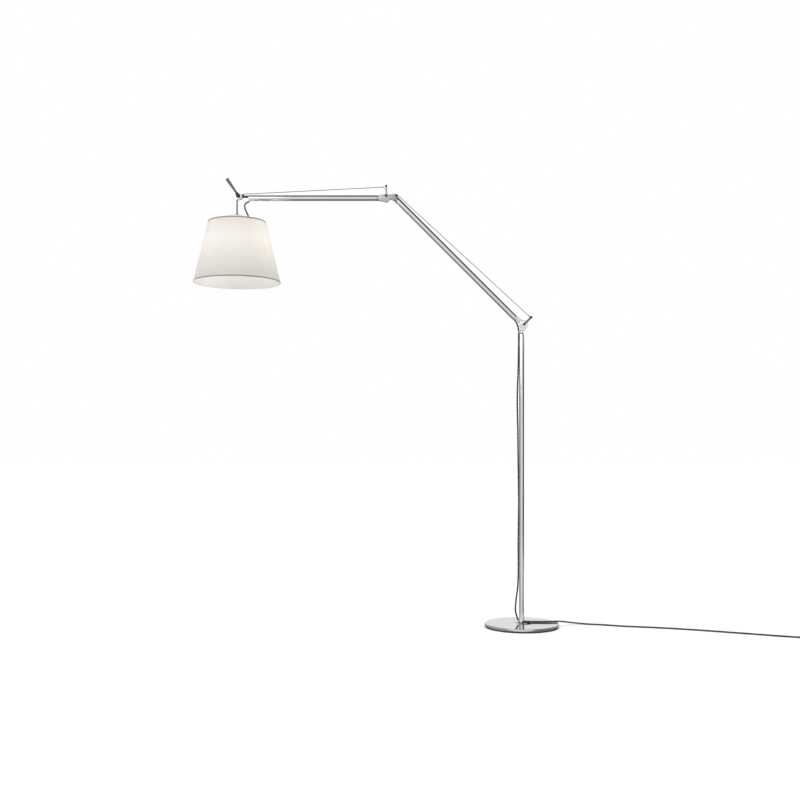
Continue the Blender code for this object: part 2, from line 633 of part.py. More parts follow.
def build_foot_switch():
    place = Matrix.Translation(SWITCH_CENTRE)
    x, y = SWITCH_LENGTH / 2, SWITCH_WIDTH / 2
    block("switch_base", (-x, -y, 0), (x, y, SWITCH_SPLIT), "black_plastic", None, place, 0.012)
    low = (-x, -y, SWITCH_SPLIT + GAP)
    cover = block("switch_cover", low, (x, y, SWITCH_TOP), "black_plastic", None, place, 0.012)
    well = rod("switch_well", 0.0128, SWITCH_TOP - 0.0060, SWITCH_TOP + 0.01, "steel", None, place)
    cut(cover, well)
    button = joint_axis("button_axis", None, place)
    button_low, button_top = SWITCH_TOP - 0.0030, SWITCH_TOP + 0.0035
    outline = [(0, button_low), (0.0122, button_low), (0.0122, button_top - 0.0015)]
    outline += [(0.0110, button_top), (0, button_top)]
    turned("switch_button", outline, "black_plastic", button)


def build_coil_and_plug():
    start = (SWITCH_CENTRE.x + SWITCH_LENGTH / 2 + 3 * GAP, SWITCH_CENTRE.y, 0.0100)
    tail = [start, (start[0] + 0.0080, start[1], 0.0094), (start[0] + 0.0160, start[1], 0.0078)]
    cable("tail_cord", tail, 4)
    place = Matrix.Translation(COIL_CENTRE)
    inner, outer = COIL_RADIUS - COIL_HALF_WIDTH, COIL_RADIUS + COIL_HALF_WIDTH
    ring("cord_coil", inner, outer, 0.0003, COIL_HEIGHT, "cable_grey", None, place)
    place = Matrix.Translation(COIL_CENTRE + Vector((COIL_RADIUS, 0.0320, 0.0125))) @ ALONG_Y
    outline = [(0, 0), (0.0052, 0), (0.0062, 0.022), (0.0120, 0.026), (0.0123, 0.060), (0, 0.060)]
    plug = turned("plug", outline, "black_plastic", None, place)
    for name, shift in (("left", -0.0095), ("right", 0.0095)):
        foot = place @ Matrix.Translation((shift, 0, 0))
        add(plug, rod(f"plug_pin_{name}", 0.0020, 0.055, 0.079, "steel", None, foot, 10))


def build_lamp():
    swivel = joint_axis("swivel_axis", None, Matrix.Translation((0, 0, POLE_TOP)))
    reach_left = Matrix.Rotation(math.pi, 4, "Z") @ Matrix.Rotation(-LOWER_ARM_LIFT, 4, "Y")
    knee_place = Matrix.Translation(KNEE - Vector((0, 0, POLE_TOP))) @ reach_left
    knee = joint_axis("knee_axis", swivel, knee_place)
    level = Matrix.Rotation(LOWER_ARM_LIFT, 4, "Y")
    elbow_place = Matrix.Translation((ELBOW_ALONG, 0, ELBOW_ACROSS)) @ level
    elbow = joint_axis("elbow_axis", knee, elbow_place)
    turned_back = Matrix.Rotation(math.pi, 4, "Z")
    head_place = Matrix.Translation((HEAD_ALONG, 0, HEAD_ACROSS)) @ turned_back
    head = joint_axis("head_axis", elbow, head_place)
    build_base()
    build_pole()
    build_knee(swivel)
    build_lower_arm(knee)
    build_upper_arm(elbow)
    build_head_joint(head)
    build_shade(head)
    build_cables()
    build_foot_switch()
    build_coil_and_plug()


for old in list(bpy.data.objects):
    bpy.data.objects.remove(old, do_unlink=True)
build_lamp()
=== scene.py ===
import json
import math

import bmesh
import bpy
from mathutils import Matrix, Vector


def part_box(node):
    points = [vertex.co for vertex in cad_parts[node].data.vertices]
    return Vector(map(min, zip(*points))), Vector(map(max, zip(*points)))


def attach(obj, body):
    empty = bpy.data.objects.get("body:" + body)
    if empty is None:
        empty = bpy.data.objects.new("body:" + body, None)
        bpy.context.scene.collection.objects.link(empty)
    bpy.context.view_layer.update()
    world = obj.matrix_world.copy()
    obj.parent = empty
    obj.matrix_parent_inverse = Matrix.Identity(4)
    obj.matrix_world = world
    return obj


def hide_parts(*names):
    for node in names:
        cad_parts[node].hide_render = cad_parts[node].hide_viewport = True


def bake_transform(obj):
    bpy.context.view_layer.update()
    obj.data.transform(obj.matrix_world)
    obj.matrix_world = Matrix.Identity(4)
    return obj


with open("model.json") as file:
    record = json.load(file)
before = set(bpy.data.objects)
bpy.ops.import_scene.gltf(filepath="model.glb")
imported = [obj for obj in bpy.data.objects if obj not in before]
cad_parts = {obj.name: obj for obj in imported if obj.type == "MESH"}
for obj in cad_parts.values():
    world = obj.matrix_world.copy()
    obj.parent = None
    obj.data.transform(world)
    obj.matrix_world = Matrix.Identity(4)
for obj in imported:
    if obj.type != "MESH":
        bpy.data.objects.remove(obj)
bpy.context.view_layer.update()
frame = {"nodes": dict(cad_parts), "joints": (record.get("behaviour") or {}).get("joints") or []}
nodes = frame["nodes"]
pivots = {joint["name"]: Vector(joint["pos_m"]) for joint in frame["joints"] if joint.get("pos_m")}
print("frame loaded:", len(nodes), "parts")


# Camera, level and in front of the lamp
cameraSettings = {"place": (-0.5886, -5.01, 0.885), "lens": 46.58, "sensor": 36, "shiftUp": 0.055}


def placeCamera():
    data = bpy.data.cameras.new("camera")
    data.lens = cameraSettings["lens"]
    data.sensor_width = cameraSettings["sensor"]
    data.shift_y = cameraSettings["shiftUp"]
    data.clip_end = 200
    camera = bpy.data.objects.new("camera", data)
    bpy.context.collection.objects.link(camera)
    camera.location = cameraSettings["place"]
    camera.rotation_euler = (math.radians(90), 0, 0)
    bpy.context.scene.camera = camera


placeCamera()
print("camera placed")


# Node helpers for the finishes

def newFinish(name):
    finish = bpy.data.materials.new(name)
    finish.use_nodes = True
    return finish, finish.node_tree, finish.node_tree.nodes["Principled BSDF"]


def addNode(tree, kind, inputs=None, **options):
    node = tree.nodes.new(kind)
    for option, value in options.items():
        setattr(node, option, value)
    for socket, value in (inputs or {}).items():
        if isinstance(value, bpy.types.NodeSocket):
            tree.links.new(value, node.inputs[socket])
        else:
            node.inputs[socket].default_value = value
    return node


def stretched(tree, source, scale, turn=(0, 0, 0)):
    spots = addNode(tree, "ShaderNodeTexCoord")
    inputs = {"Vector": spots.outputs[source], "Scale": scale, "Rotation": turn}
    return addNode(tree, "ShaderNodeMapping", inputs).outputs["Vector"]


def mottle(tree, vector, scale=1.0, detail=3.0, roughness=0.55):
    inputs = {"Vector": vector, "Scale": scale, "Detail": detail, "Roughness": roughness}
    return addNode(tree, "ShaderNodeTexNoise", inputs).outputs["Fac"]


def remap(tree, value, low, high, start=0.3, stop=0.7):
    inputs = {"Value": value, "From Min": start, "From Max": stop, "To Min": low, "To Max": high}
    return addNode(tree, "ShaderNodeMapRange", inputs).outputs["Result"]


def blendColours(tree, share, first, second, mode="MIX"):
    node = addNode(tree, "ShaderNodeMix", data_type="RGBA", blend_type=mode)
    for socket, value in ((node.inputs[0], share), (node.inputs[6], first), (node.inputs[7], second)):
        if isinstance(value, bpy.types.NodeSocket):
            tree.links.new(value, socket)
        elif isinstance(value, float):
            socket.default_value = value
        else:
            socket.default_value = (*value, 1)
    return node.outputs[2]


def join(tree, operation, first, second):
    node = addNode(tree, "ShaderNodeMath", operation=operation)
    for socket, value in zip(node.inputs, (first, second)):
        if isinstance(value, bpy.types.NodeSocket):
            tree.links.new(value, socket)
        else:
            socket.default_value = value
    return node.outputs[0]


bandScale = 0.314  # a wave texture with this over the pitch as its scale has one band per pitch


def bands(tree, vector, pitch, distortion=0.0, way="X"):
    inputs = {"Vector": vector, "Scale": bandScale / pitch, "Distortion": distortion}
    return addNode(tree, "ShaderNodeTexWave", inputs, bands_direction=way).outputs["Fac"]


def raise_(tree, shader, height, depth):
    inputs = {"Height": height, "Distance": depth, "Strength": 1.0}
    bump = addNode(tree, "ShaderNodeBump", inputs)
    tree.links.new(bump.outputs["Normal"], shader.inputs["Normal"])


# Finishes with fine grain, grit or orange peel. grain: how often it repeats per metre along each way
finishSettings = {
    "polishedAluminium": {
        "colours": ((0.78, 0.78, 0.79), (0.85, 0.85, 0.855)), "metallic": 1.0,
        "roughness": (0.08, 0.14), "source": "UV", "grain": (2600, 22, 1), "depth": 0.000004,
    },
    "castAluminium": {
        "colours": ((0.54, 0.54, 0.55), (0.66, 0.66, 0.67)), "metallic": 1.0,
        "roughness": (0.14, 0.24), "source": "Object", "grain": (1500, 1500, 1500), "depth": 0.00004,
    },
    "satinRod": {
        "colours": ((0.20, 0.20, 0.205), (0.27, 0.27, 0.275)), "metallic": 1.0,
        "roughness": (0.26, 0.38), "source": "UV", "grain": (2200, 60, 1), "depth": 0.000006,
    },
    "darkSteel": {
        "colours": ((0.17, 0.17, 0.175), (0.25, 0.25, 0.255)), "metallic": 1.0,
        "roughness": (0.26, 0.40), "source": "Object", "grain": (260, 900, 2400), "depth": 0.00001,
    },
    "satinCasting": {
        "colours": ((0.82, 0.82, 0.825), (0.89, 0.89, 0.89)), "metallic": 1.0,
        "roughness": (0.08, 0.15), "source": "Object", "grain": (900, 900, 900), "depth": 0.000012,
    },
    "steelPlate": {
        "colours": ((0.40, 0.40, 0.41), (0.52, 0.52, 0.53)), "metallic": 1.0,
        "roughness": (0.24, 0.40), "source": "Object", "grain": (260, 900, 2400), "depth": 0.00001,
    },
    "springSteel": {
        "colours": ((0.28, 0.28, 0.29), (0.40, 0.40, 0.41)), "metallic": 1.0,
        "roughness": (0.22, 0.36), "source": "Object", "grain": (700, 700, 700), "depth": 0.00002,
    },
    "castIron": {
        "colours": ((0.045, 0.045, 0.047), (0.085, 0.08, 0.078)), "metallic": 0.7,
        "roughness": (0.60, 0.82), "source": "Object", "grain": (600, 600, 600), "depth": 0.00025,
    },
    "blackPlastic": {
        "colours": ((0.012, 0.012, 0.013), (0.024, 0.024, 0.025)), "metallic": 0.0,
        "roughness": (0.34, 0.50), "source": "Object", "grain": (2400, 2400, 2400), "depth": 0.00003,
    },
    "whiteEnamel": {
        "colours": ((0.80, 0.80, 0.79), (0.88, 0.88, 0.87)), "metallic": 0.0,
        "roughness": (0.22, 0.34), "source": "Object", "grain": (420, 420, 420), "depth": 0.00004,
    },
    "brownPlastic": {
        "colours": ((0.05, 0.035, 0.028), (0.085, 0.06, 0.045)), "metallic": 0.0,
        "roughness": (0.36, 0.50), "source": "Object", "grain": (1800, 1800, 1800), "depth": 0.00003,
    },
    "handleGrey": {
        "colours": ((0.17, 0.17, 0.175), (0.23, 0.23, 0.235)), "metallic": 0.75,
        "roughness": (0.34, 0.46), "source": "UV", "grain": (1700, 240, 1), "depth": 0.00001,
    },
    "rubber": {
        "colours": ((0.008, 0.008, 0.008), (0.018, 0.018, 0.018)), "metallic": 0.0,
        "roughness": (0.62, 0.84), "source": "Object", "grain": (1100, 1100, 1100), "depth": 0.00008,
    },
    "smoothFlex": {
        "colours": ((0.040, 0.040, 0.042), (0.062, 0.062, 0.065)), "metallic": 0.0,
        "roughness": (0.36, 0.52), "source": "UV", "grain": (900, 90, 1), "depth": 0.00003,
    },
    "plugBrass": {
        "colours": ((0.72, 0.66, 0.50), (0.80, 0.74, 0.58)), "metallic": 1.0,
        "roughness": (0.20, 0.32), "source": "Object", "grain": (1200, 1200, 1200), "depth": 0.00001,
    },
}


def makeFinish(name):
    s = finishSettings[name]
    finish, tree, shader = newFinish(name)
    grain = mottle(tree, stretched(tree, s["source"], s["grain"]), detail=4.0)
    cloud = mottle(tree, stretched(tree, "Object", (14, 14, 14)), detail=2.0)
    smudge = mottle(tree, stretched(tree, "Object", (55, 55, 38)), detail=4.0)
    both = join(tree, "MULTIPLY_ADD", grain, 0.6)
    tree.links.new(cloud, both.node.inputs[2])
    share = remap(tree, both, 0.0, 1.0, 0.55, 1.05)
    tree.links.new(blendColours(tree, share, *s["colours"]), shader.inputs["Base Color"])
    shader.inputs["Metallic"].default_value = s["metallic"]
    low, high = s["roughness"]
    uneven = join(tree, "ADD", remap(tree, grain, low, high), remap(tree, smudge, -0.025, 0.035))
    tree.links.new(uneven, shader.inputs["Roughness"])
    raise_(tree, shader, grain, s["depth"])
    return finish


finishes = {name: makeFinish(name) for name in finishSettings}

# The spun disc: fine rings round the pole
spunSettings = {
    "colours": ((0.76, 0.76, 0.765), (0.82, 0.82, 0.82)), "roughness": (0.06, 0.12), "rings": 1500, "depth": 0.000002,
}


def makeSpunFinish():
    s = spunSettings
    finish, tree, shader = newFinish("spunAluminium")
    spots = addNode(tree, "ShaderNodeTexCoord").outputs["Object"]
    flat = addNode(tree, "ShaderNodeVectorMath", {0: spots, 1: (1, 1, 0)}, operation="MULTIPLY").outputs[0]
    distance = addNode(tree, "ShaderNodeVectorMath", {0: flat}, operation="LENGTH").outputs["Value"]
    along = addNode(tree, "ShaderNodeCombineXYZ", {"X": distance}).outputs[0]
    rings = mottle(tree, along, scale=s["rings"], detail=4.0)
    cloud = mottle(tree, stretched(tree, "Object", (11, 11, 11)), detail=3.0)
    tree.links.new(blendColours(tree, remap(tree, cloud, 0.0, 1.0), *s["colours"]), shader.inputs["Base Color"])
    shader.inputs["Metallic"].default_value = 1.0
    uneven = join(tree, "ADD", remap(tree, rings, *s["roughness"]), remap(tree, cloud, -0.02, 0.03))
    tree.links.new(uneven, shader.inputs["Roughness"])
    raise_(tree, shader, rings, s["depth"])
    return finish


finishes["spunAluminium"] = makeSpunFinish()

# Twisted steel rope: strands that wind round its length, with painted shade in the grooves between them
ropeSettings = {
    "colours": ((0.08, 0.08, 0.085), (0.30, 0.30, 0.31)), "turn": 0.9, "pitch": 0.0011, "depth": 0.00016,
}


def makeRopeFinish():
    s = ropeSettings
    finish, tree, shader = newFinish("wireRope")
    lay = stretched(tree, "UV", (1, 1, 1), (0, 0, s["turn"]))
    strands = bands(tree, lay, s["pitch"])
    dirt = mottle(tree, stretched(tree, "UV", (500, 120, 1)))
    # colour darker in the grooves between strands: painted shade; the dirt mottle on top is the rope's own tone
    share = join(tree, "MULTIPLY", remap(tree, strands, 0.0, 1.0, 0.1, 0.8), remap(tree, dirt, 0.7, 1.0))
    tree.links.new(blendColours(tree, share, *s["colours"]), shader.inputs["Base Color"])
    shader.inputs["Metallic"].default_value = 1.0
    tree.links.new(remap(tree, dirt, 0.26, 0.42), shader.inputs["Roughness"])
    raise_(tree, shader, strands, s["depth"])
    return finish


finishes["wireRope"] = makeRopeFinish()

# Braided flex: two crossing sets of threads with light flecks, and painted shade in the low parts between threads
braidSettings = {
    "colours": ((0.010, 0.010, 0.011), (0.040, 0.040, 0.042)), "fleck": (0.30, 0.30, 0.30),
    "pitch": 0.0016, "depth": 0.00022, "roughness": (0.62, 0.80),
}


def makeBraidFinish():
    s = braidSettings
    finish, tree, shader = newFinish("braidedFlex")
    height = None
    for turn in (0.85, -0.85):
        lay = stretched(tree, "UV", (1, 1, 1), (0, 0, turn))
        thread = bands(tree, lay, s["pitch"])
        height = thread if height is None else join(tree, "MAXIMUM", height, thread)
    flecks = mottle(tree, stretched(tree, "UV", (260, 190, 1), (0, 0, 0.85)), detail=1.0)
    lint = mottle(tree, stretched(tree, "UV", (60, 35, 1)), detail=4.0)
    # colour darker where the threads dip: painted shade between them
    base = blendColours(tree, remap(tree, height, 0.0, 1.0, 0.2, 1.0), *s["colours"])
    marked = join(tree, "MULTIPLY", remap(tree, flecks, 0.0, 1.0, 0.56, 0.63), remap(tree, lint, 0.35, 1.0))
    tree.links.new(blendColours(tree, marked, base, s["fleck"]), shader.inputs["Base Color"])
    tree.links.new(remap(tree, lint, *s["roughness"]), shader.inputs["Roughness"])
    shader.inputs["Specular IOR Level"].default_value = 0.2
    raise_(tree, shader, height, s["depth"])
    return finish


finishes["braidedFlex"] = makeBraidFinish()

# Woven shade: warp and weft with slubs, thin enough to let the bulb's light through, plus a painted glow: an emission
# in the fabric, strongest at the bulb's height
fabricSettings = {
    "colours": ((0.68, 0.678, 0.674), (0.77, 0.768, 0.764)), "glow": (0.97, 0.94, 0.89), "through": 0.36,
    # lit: the painted glow, an emission in the fabric by height, on top of the real light that comes through it
    "lit": {"height": 1.865, "reach": 0.18, "strength": 0.25, "colour": (1.0, 0.93, 0.82)},
    "pitch": 0.0009, "slubs": ((34, 620, 1), (620, 26, 1)), "roughness": (0.82, 0.95), "depth": 0.00016,
}


def makeFabricFinish():
    s = fabricSettings
    finish, tree, shader = newFinish("shadeFabric")
    cloth = stretched(tree, "UV", (1, 1, 1))
    weave = join(tree, "MULTIPLY", *(bands(tree, cloth, s["pitch"], 0.6, way) for way in ("X", "Y")))
    slubs = [mottle(tree, stretched(tree, "UV", scale), detail=2.0) for scale in s["slubs"]]
    thick = join(tree, "ADD", *(remap(tree, slub, 0.0, 0.5, 0.42, 0.66) for slub in slubs))
    cloud = mottle(tree, stretched(tree, "UV", (9, 12, 1)), detail=3.0)
    share = join(tree, "MULTIPLY", thick, remap(tree, cloud, 0.92, 1.0))
    threads = blendColours(tree, share, *s["colours"])
    shaded = blendColours(tree, remap(tree, weave, 0.10, 0.0, 0.0, 0.6), threads, (0.45, 0.41, 0.36))
    tree.links.new(shaded, shader.inputs["Base Color"])
    tree.links.new(remap(tree, slubs[1], *s["roughness"]), shader.inputs["Roughness"])
    shader.inputs["Specular IOR Level"].default_value = 0.25
    shader.inputs["Sheen Weight"].default_value = 0.15
    lit = s["lit"]  # painted glow: the emission is strongest at this height, by the bulb, and fades over reach
    spots = addNode(tree, "ShaderNodeTexCoord").outputs["Object"]
    level = addNode(tree, "ShaderNodeSeparateXYZ", {0: spots}).outputs["Z"]
    away = join(tree, "ABSOLUTE", join(tree, "SUBTRACT", level, lit["height"]), 0.0)
    glow = remap(tree, away, lit["strength"], 0.0, 0.0, lit["reach"])
    shader.inputs["Emission Color"].default_value = (*lit["colour"], 1)
    tree.links.new(join(tree, "MULTIPLY", glow, remap(tree, thick, 1.0, 0.86)), shader.inputs["Emission Strength"])
    height = join(tree, "ADD", weave, join(tree, "MULTIPLY", thick, 0.8))
    raise_(tree, shader, height, s["depth"])
    through = addNode(tree, "ShaderNodeBsdfTranslucent")
    tint = blendColours(tree, share, tuple(0.9 * part for part in s["glow"]), s["glow"])
    tree.links.new(tint, through.inputs["Color"])
    mix = addNode(tree, "ShaderNodeMixShader", {0: s["through"], 1: shader.outputs[0], 2: through.outputs[0]})
    tree.links.new(mix.outputs[0], tree.nodes["Material Output"].inputs["Surface"])
    return finish


finishes["shadeFabric"] = makeFabricFinish()

# The folded tape round both rims of the shade: ribs across its width, with painted shade in the grooves between ribs
tapeSettings = {
    "colours": ((0.20, 0.195, 0.185), (0.33, 0.325, 0.31)), "ribs": 0.0009, "roughness": (0.6, 0.8), "depth": 0.0001,
}


def makeTapeFinish():
    s = tapeSettings
    finish, tree, shader = newFinish("shadeTape")
    cloth = stretched(tree, "UV", (1, 1, 1))
    ribs = bands(tree, cloth, s["ribs"], 0.8)
    slubs = mottle(tree, stretched(tree, "UV", (60, 900, 1)), detail=3.0)
    # colour darker in the rib grooves: painted shade; the slub mottle is the tape's own tone
    share = join(tree, "MULTIPLY", remap(tree, ribs, 0.6, 1.0, 0.1, 0.9), remap(tree, slubs, 0.5, 1.0))
    tree.links.new(blendColours(tree, share, *s["colours"]), shader.inputs["Base Color"])
    tree.links.new(remap(tree, slubs, *s["roughness"]), shader.inputs["Roughness"])
    shader.inputs["Sheen Weight"].default_value = 0.2
    raise_(tree, shader, ribs, s["depth"])
    return finish


finishes["shadeTape"] = makeTapeFinish()

# Opal bulb, lit low: milky glass that glows from inside
opalSettings = {"colours": ((0.90, 0.88, 0.84), (0.95, 0.94, 0.91)), "warm": (1.0, 0.90, 0.76), "brightness": 2.0}


def makeOpalFinish():
    s = opalSettings
    finish, tree, shader = newFinish("opalGlass")
    milk = mottle(tree, stretched(tree, "Object", (60, 60, 60)), detail=3.0)
    tree.links.new(blendColours(tree, remap(tree, milk, 0.0, 1.0), *s["colours"]), shader.inputs["Base Color"])
    tree.links.new(remap(tree, milk, 0.16, 0.26), shader.inputs["Roughness"])
    shader.inputs["Coat Weight"].default_value = 0.4
    shader.inputs["Emission Color"].default_value = (*s["warm"], 1)
    shader.inputs["Emission Strength"].default_value = s["brightness"]
    return finish


finishes["opalGlass"] = makeOpalFinish()
print("finishes mixed:", len(finishes))


# Mesh helpers

def makePiece(name, bm, finish, body, stoodFor=(), sharp=35):
    bmesh.ops.recalc_face_normals(bm, faces=bm.faces)
    mesh = bpy.data.meshes.new(name)
    bm.to_mesh(mesh)
    bm.free()
    mesh.shade_smooth()
    mesh.set_sharp_from_angle(angle=math.radians(sharp))
    mesh.materials.append(finishes[finish])
    piece = bpy.data.objects.new(name, mesh)
    bpy.context.collection.objects.link(piece)
    if body:
        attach(piece, body)
    if stoodFor:
        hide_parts(*stoodFor)
    return piece


def polar(turn, radius=1.0, height=0.0):
    return Vector((radius * math.cos(turn), radius * math.sin(turn), height))


def stitch(bm, here, there):
    count = len(here)
    return [
        bm.faces.new([here[side], here[(side + 1) % count], there[(side + 1) % count], there[side]])
        for side in range(count)
    ]


def softened(outline, size, steps=3):
    corners = [Vector(corner) for corner in outline]
    made = []
    for index, corner in enumerate(corners):
        if corner.x < 1e-6:
            made.append(corner)
            continue
        ends = (corners[index - 1], corners[(index + 1) % len(corners)])
        reach = [min(size, 0.45 * (end - corner).length) for end in ends]
        start, stop = (corner + (end - corner).normalized() * part for end, part in zip(ends, reach))
        for step in range(steps + 1):
            t = step / steps
            made.append((1 - t) ** 2 * start + 2 * t * (1 - t) * corner + t * t * stop)
    return [tuple(point) for point in made]


def addTurned(bm, outline, place=Matrix(), sides=64):
    lengths = bm.loops.layers.uv.verify()
    closed = outline[0][0] > 1e-6 and outline[-1][0] > 1e-6
    widest = max(radius for radius, height in outline)
    rings = []
    for radius, height in outline:
        count = sides if radius > 1e-6 else 1
        rings.append([bm.verts.new(place @ polar(math.tau * side / sides, radius, height)) for side in range(count)])
    order = list(range(len(outline))) + ([0] if closed else [])
    travelled = 0
    for here, there in zip(order, order[1:]):
        step = math.dist(outline[here], outline[there])
        for side in range(sides):
            corners = {}
            around = ((here, side, travelled), (here, side + 1, travelled),
                      (there, side + 1, travelled + step), (there, side, travelled + step))
            for ring, at, run in around:
                vert = rings[ring][at % len(rings[ring])]
                corners.setdefault(vert, (widest * math.tau * at / sides, run))
            if len(corners) > 2:
                face = bm.faces.new(list(corners))
                for loop, spot in zip(face.loops, corners.values()):
                    loop[lengths].uv = spot
        travelled += step


def outlineAround(circles, shrink, steps):
    ring = []
    for step in range(steps):
        turn = math.tau * (step + 0.5) / steps
        way = Vector((math.cos(turn), math.sin(turn)))
        x, z, radius = max(circles, key=lambda circle: circle[0] * way.x + circle[1] * way.y + circle[2])
        ring.append((x + (radius - shrink) * way.x, z + (radius - shrink) * way.y))
    return ring


def addPlate(bm, circles, low, high, place=Matrix(), soft=0.0006, steps=64):
    lengths = bm.loops.layers.uv.verify()
    layers = [(low, soft), (low + 0.3 * soft, 0.3 * soft), (low + soft, 0)]
    layers += [(high - soft, 0), (high - 0.3 * soft, 0.3 * soft), (high, soft)]
    rings = []
    for y, shrink in layers:
        ring = outlineAround(circles, shrink, steps)
        rings.append([bm.verts.new(place @ Vector((x, y, z))) for x, z in ring])
    made = [bm.faces.new(rings[0]), bm.faces.new(rings[-1])]
    for here, there in zip(rings, rings[1:]):
        made += stitch(bm, here, there)
    for face in made:
        for loop in face.loops:
            loop[lengths].uv = (loop.vert.co.x, loop.vert.co.z)


def addPair(bm, circles, near, far, place, soft, steps):  # the same plate at the front and at the back
    for sign in (-1, 1):
        low, high = sorted((sign * near, sign * far))
        addPlate(bm, circles, low, high, place, soft, steps)


def addBox(bm, low, high, soft, place=Matrix(), steps=3):
    middle = [(a + b) / 2 for a, b in zip(low, high)]
    size = [b - a for a, b in zip(low, high)]
    shape = place @ Matrix.Translation(middle) @ Matrix.Diagonal((*size, 1))
    corners = bmesh.ops.create_cube(bm, size=1, matrix=shape)["verts"]
    edges = {edge for corner in corners for edge in corner.link_edges}
    bmesh.ops.bevel(bm, geom=list(edges), offset=soft, segments=steps, profile=0.5, affect="EDGES")


def addSweep(bm, points, radii, sides=16, stretch=(1, 1)):
    lengths = bm.loops.layers.uv.verify()
    points = [Vector(point) for point in points]
    if not hasattr(radii, "__len__"):
        radii = [radii] * len(points)
    across = None
    rings, travelled = [], [0.0]
    for index, point in enumerate(points):
        along = (points[min(index + 1, len(points) - 1)] - points[max(index - 1, 0)]).normalized()
        if across is None:
            across = along.orthogonal().normalized()
        across = (across - along * across.dot(along)).normalized()
        side = along.cross(across)
        ring = []
        for number in range(sides):
            turn = math.tau * number / sides
            out = across * math.cos(turn) * stretch[0] + side * math.sin(turn) * stretch[1]
            ring.append(bm.verts.new(point + out * radii[index]))
        rings.append(ring)
        if index:
            travelled.append(travelled[-1] + (point - points[index - 1]).length)
    for index in range(len(rings) - 1):
        for number, face in enumerate(stitch(bm, rings[index], rings[index + 1])):
            spots = ((number, index), (number + 1, index), (number + 1, index + 1), (number, index + 1))
            for loop, (at, row) in zip(face.loops, spots):
                loop[lengths].uv = (math.tau * radii[0] * at / sides, travelled[row])
    bm.faces.new(rings[0])
    bm.faces.new(rings[-1])


def smoothRoute(points, count):
    points = [Vector(point) for point in points]
    ends = [2 * points[0] - points[1], *points, 2 * points[-1] - points[-2]]
    fine = []
    for before, start, stop, after in zip(ends, ends[1:], ends[2:], ends[3:]):
        for step in range(40):
            t = step / 40
            bow = (2 * before - 5 * start + 4 * stop - after) * t**2 + (3 * start - before - 3 * stop + after) * t**3
            fine.append(0.5 * (2 * start + (stop - before) * t + bow))
    fine.append(points[-1])
    travelled = [0.0]
    for here, there in zip(fine, fine[1:]):
        travelled.append(travelled[-1] + (there - here).length)
    even, index = [], 0
    for number in range(count):
        target = travelled[-1] * number / (count - 1)
        while index < len(fine) - 2 and travelled[index + 1] < target:
            index += 1
        share = (target - travelled[index]) / (travelled[index + 1] - travelled[index])
        even.append(fine[index].lerp(fine[index + 1], min(max(share, 0), 1)))
    return even


def routeLength(points):
    return sum((there - here).length for here, there in zip(points, points[1:]))


alongX = Matrix.Rotation(math.radians(90), 4, "Y")
alongY = Matrix.Rotation(math.radians(-90), 4, "X")
gap = 0.0003

# Where each moving part has its own origin
polePlace = Matrix.Translation((0, 0, pivots["pole_swivel"].z))
halfTurn = Matrix.Rotation(math.pi, 4, "Z")
lowerPlace = Matrix.Translation(pivots["knee_hinge"]) @ halfTurn @ Matrix.Rotation(math.radians(-45), 4, "Y")
upperPlace = Matrix.Translation(pivots["elbow_hinge"]) @ halfTurn
headPlace = Matrix.Translation(pivots["head_tilt"])


# Mains lead: from the clip at the pole's foot over the disc, along the floor to the foot switch
cordSettings = {"core": 0.0025, "offset": 0.0020, "sides": 12, "points": 62, "lay": 0.0230, "step": 0.0022}
mainsPoints = [
    (0.0093, 0.0170, 0.0262), (0.0180, 0.0165, 0.0235), (0.0350, 0.0190, 0.0225), (0.0900, 0.0150, 0.0224),
    (0.1350, 0.0160, 0.0225), (0.1720, 0.0250, 0.0226), (0.2000, 0.0360, 0.0198), (0.2260, 0.0460, 0.0155),
    (0.2600, 0.0560, 0.0100), (0.2980, 0.0600, 0.0060), (0.3450, 0.0520, 0.0039), (0.4050, 0.0340, 0.0039),
    (0.5000, -0.0040, 0.0039), (0.6100, -0.0330, 0.0039), (0.7300, -0.0700, 0.0039), (0.8500, -0.1180, 0.0039),
    (0.9700, -0.1720, 0.0039), (1.0800, -0.2230, 0.0039), (1.1750, -0.2670, 0.0039), (1.2400, -0.2920, 0.0045),
    (1.2720, -0.2996, 0.0085), (1.2952, -0.3000, 0.0100),
]


def twistRound(route, phase):
    s = cordSettings
    across, travelled, strand = None, 0.0, []
    for index, point in enumerate(route):
        along = (route[min(index + 1, len(route) - 1)] - route[max(index - 1, 0)]).normalized()
        if across is None:
            across = along.orthogonal().normalized()
        else:
            travelled += (point - route[index - 1]).length
        across = (across - along * across.dot(along)).normalized()
        turn = phase + math.tau * travelled / s["lay"]
        out = across * math.cos(turn) + along.cross(across) * math.sin(turn)
        strand.append(point + out * s["offset"])
        strand[-1].z = max(strand[-1].z, s["core"])  # a core lies on the floor, not in it
    return strand


def makeTwistedFlex(name, points, stoodFor, body="base"):  # two braided cores twisted together
    s = cordSettings
    route = smoothRoute(points, 40)
    route = smoothRoute(points, round(routeLength(route) / s["step"]))
    bm = bmesh.new()
    for phase in (0, math.pi):
        addSweep(bm, twistRound(route, phase), s["core"], s["sides"])
    return makePiece(name, bm, "braidedFlex", body, stoodFor, sharp=60)


def makeSmoothFlex(name, points, stoodFor, radius):
    bm = bmesh.new()
    addSweep(bm, smoothRoute(points, 48), radius, 20)
    return makePiece(name, bm, "smoothFlex", None, stoodFor, sharp=60)


mainsRoute = smoothRoute(mainsPoints, cordSettings["points"])
mainsCord = makeTwistedFlex("mainsCord", mainsPoints, ["mains_cord"])

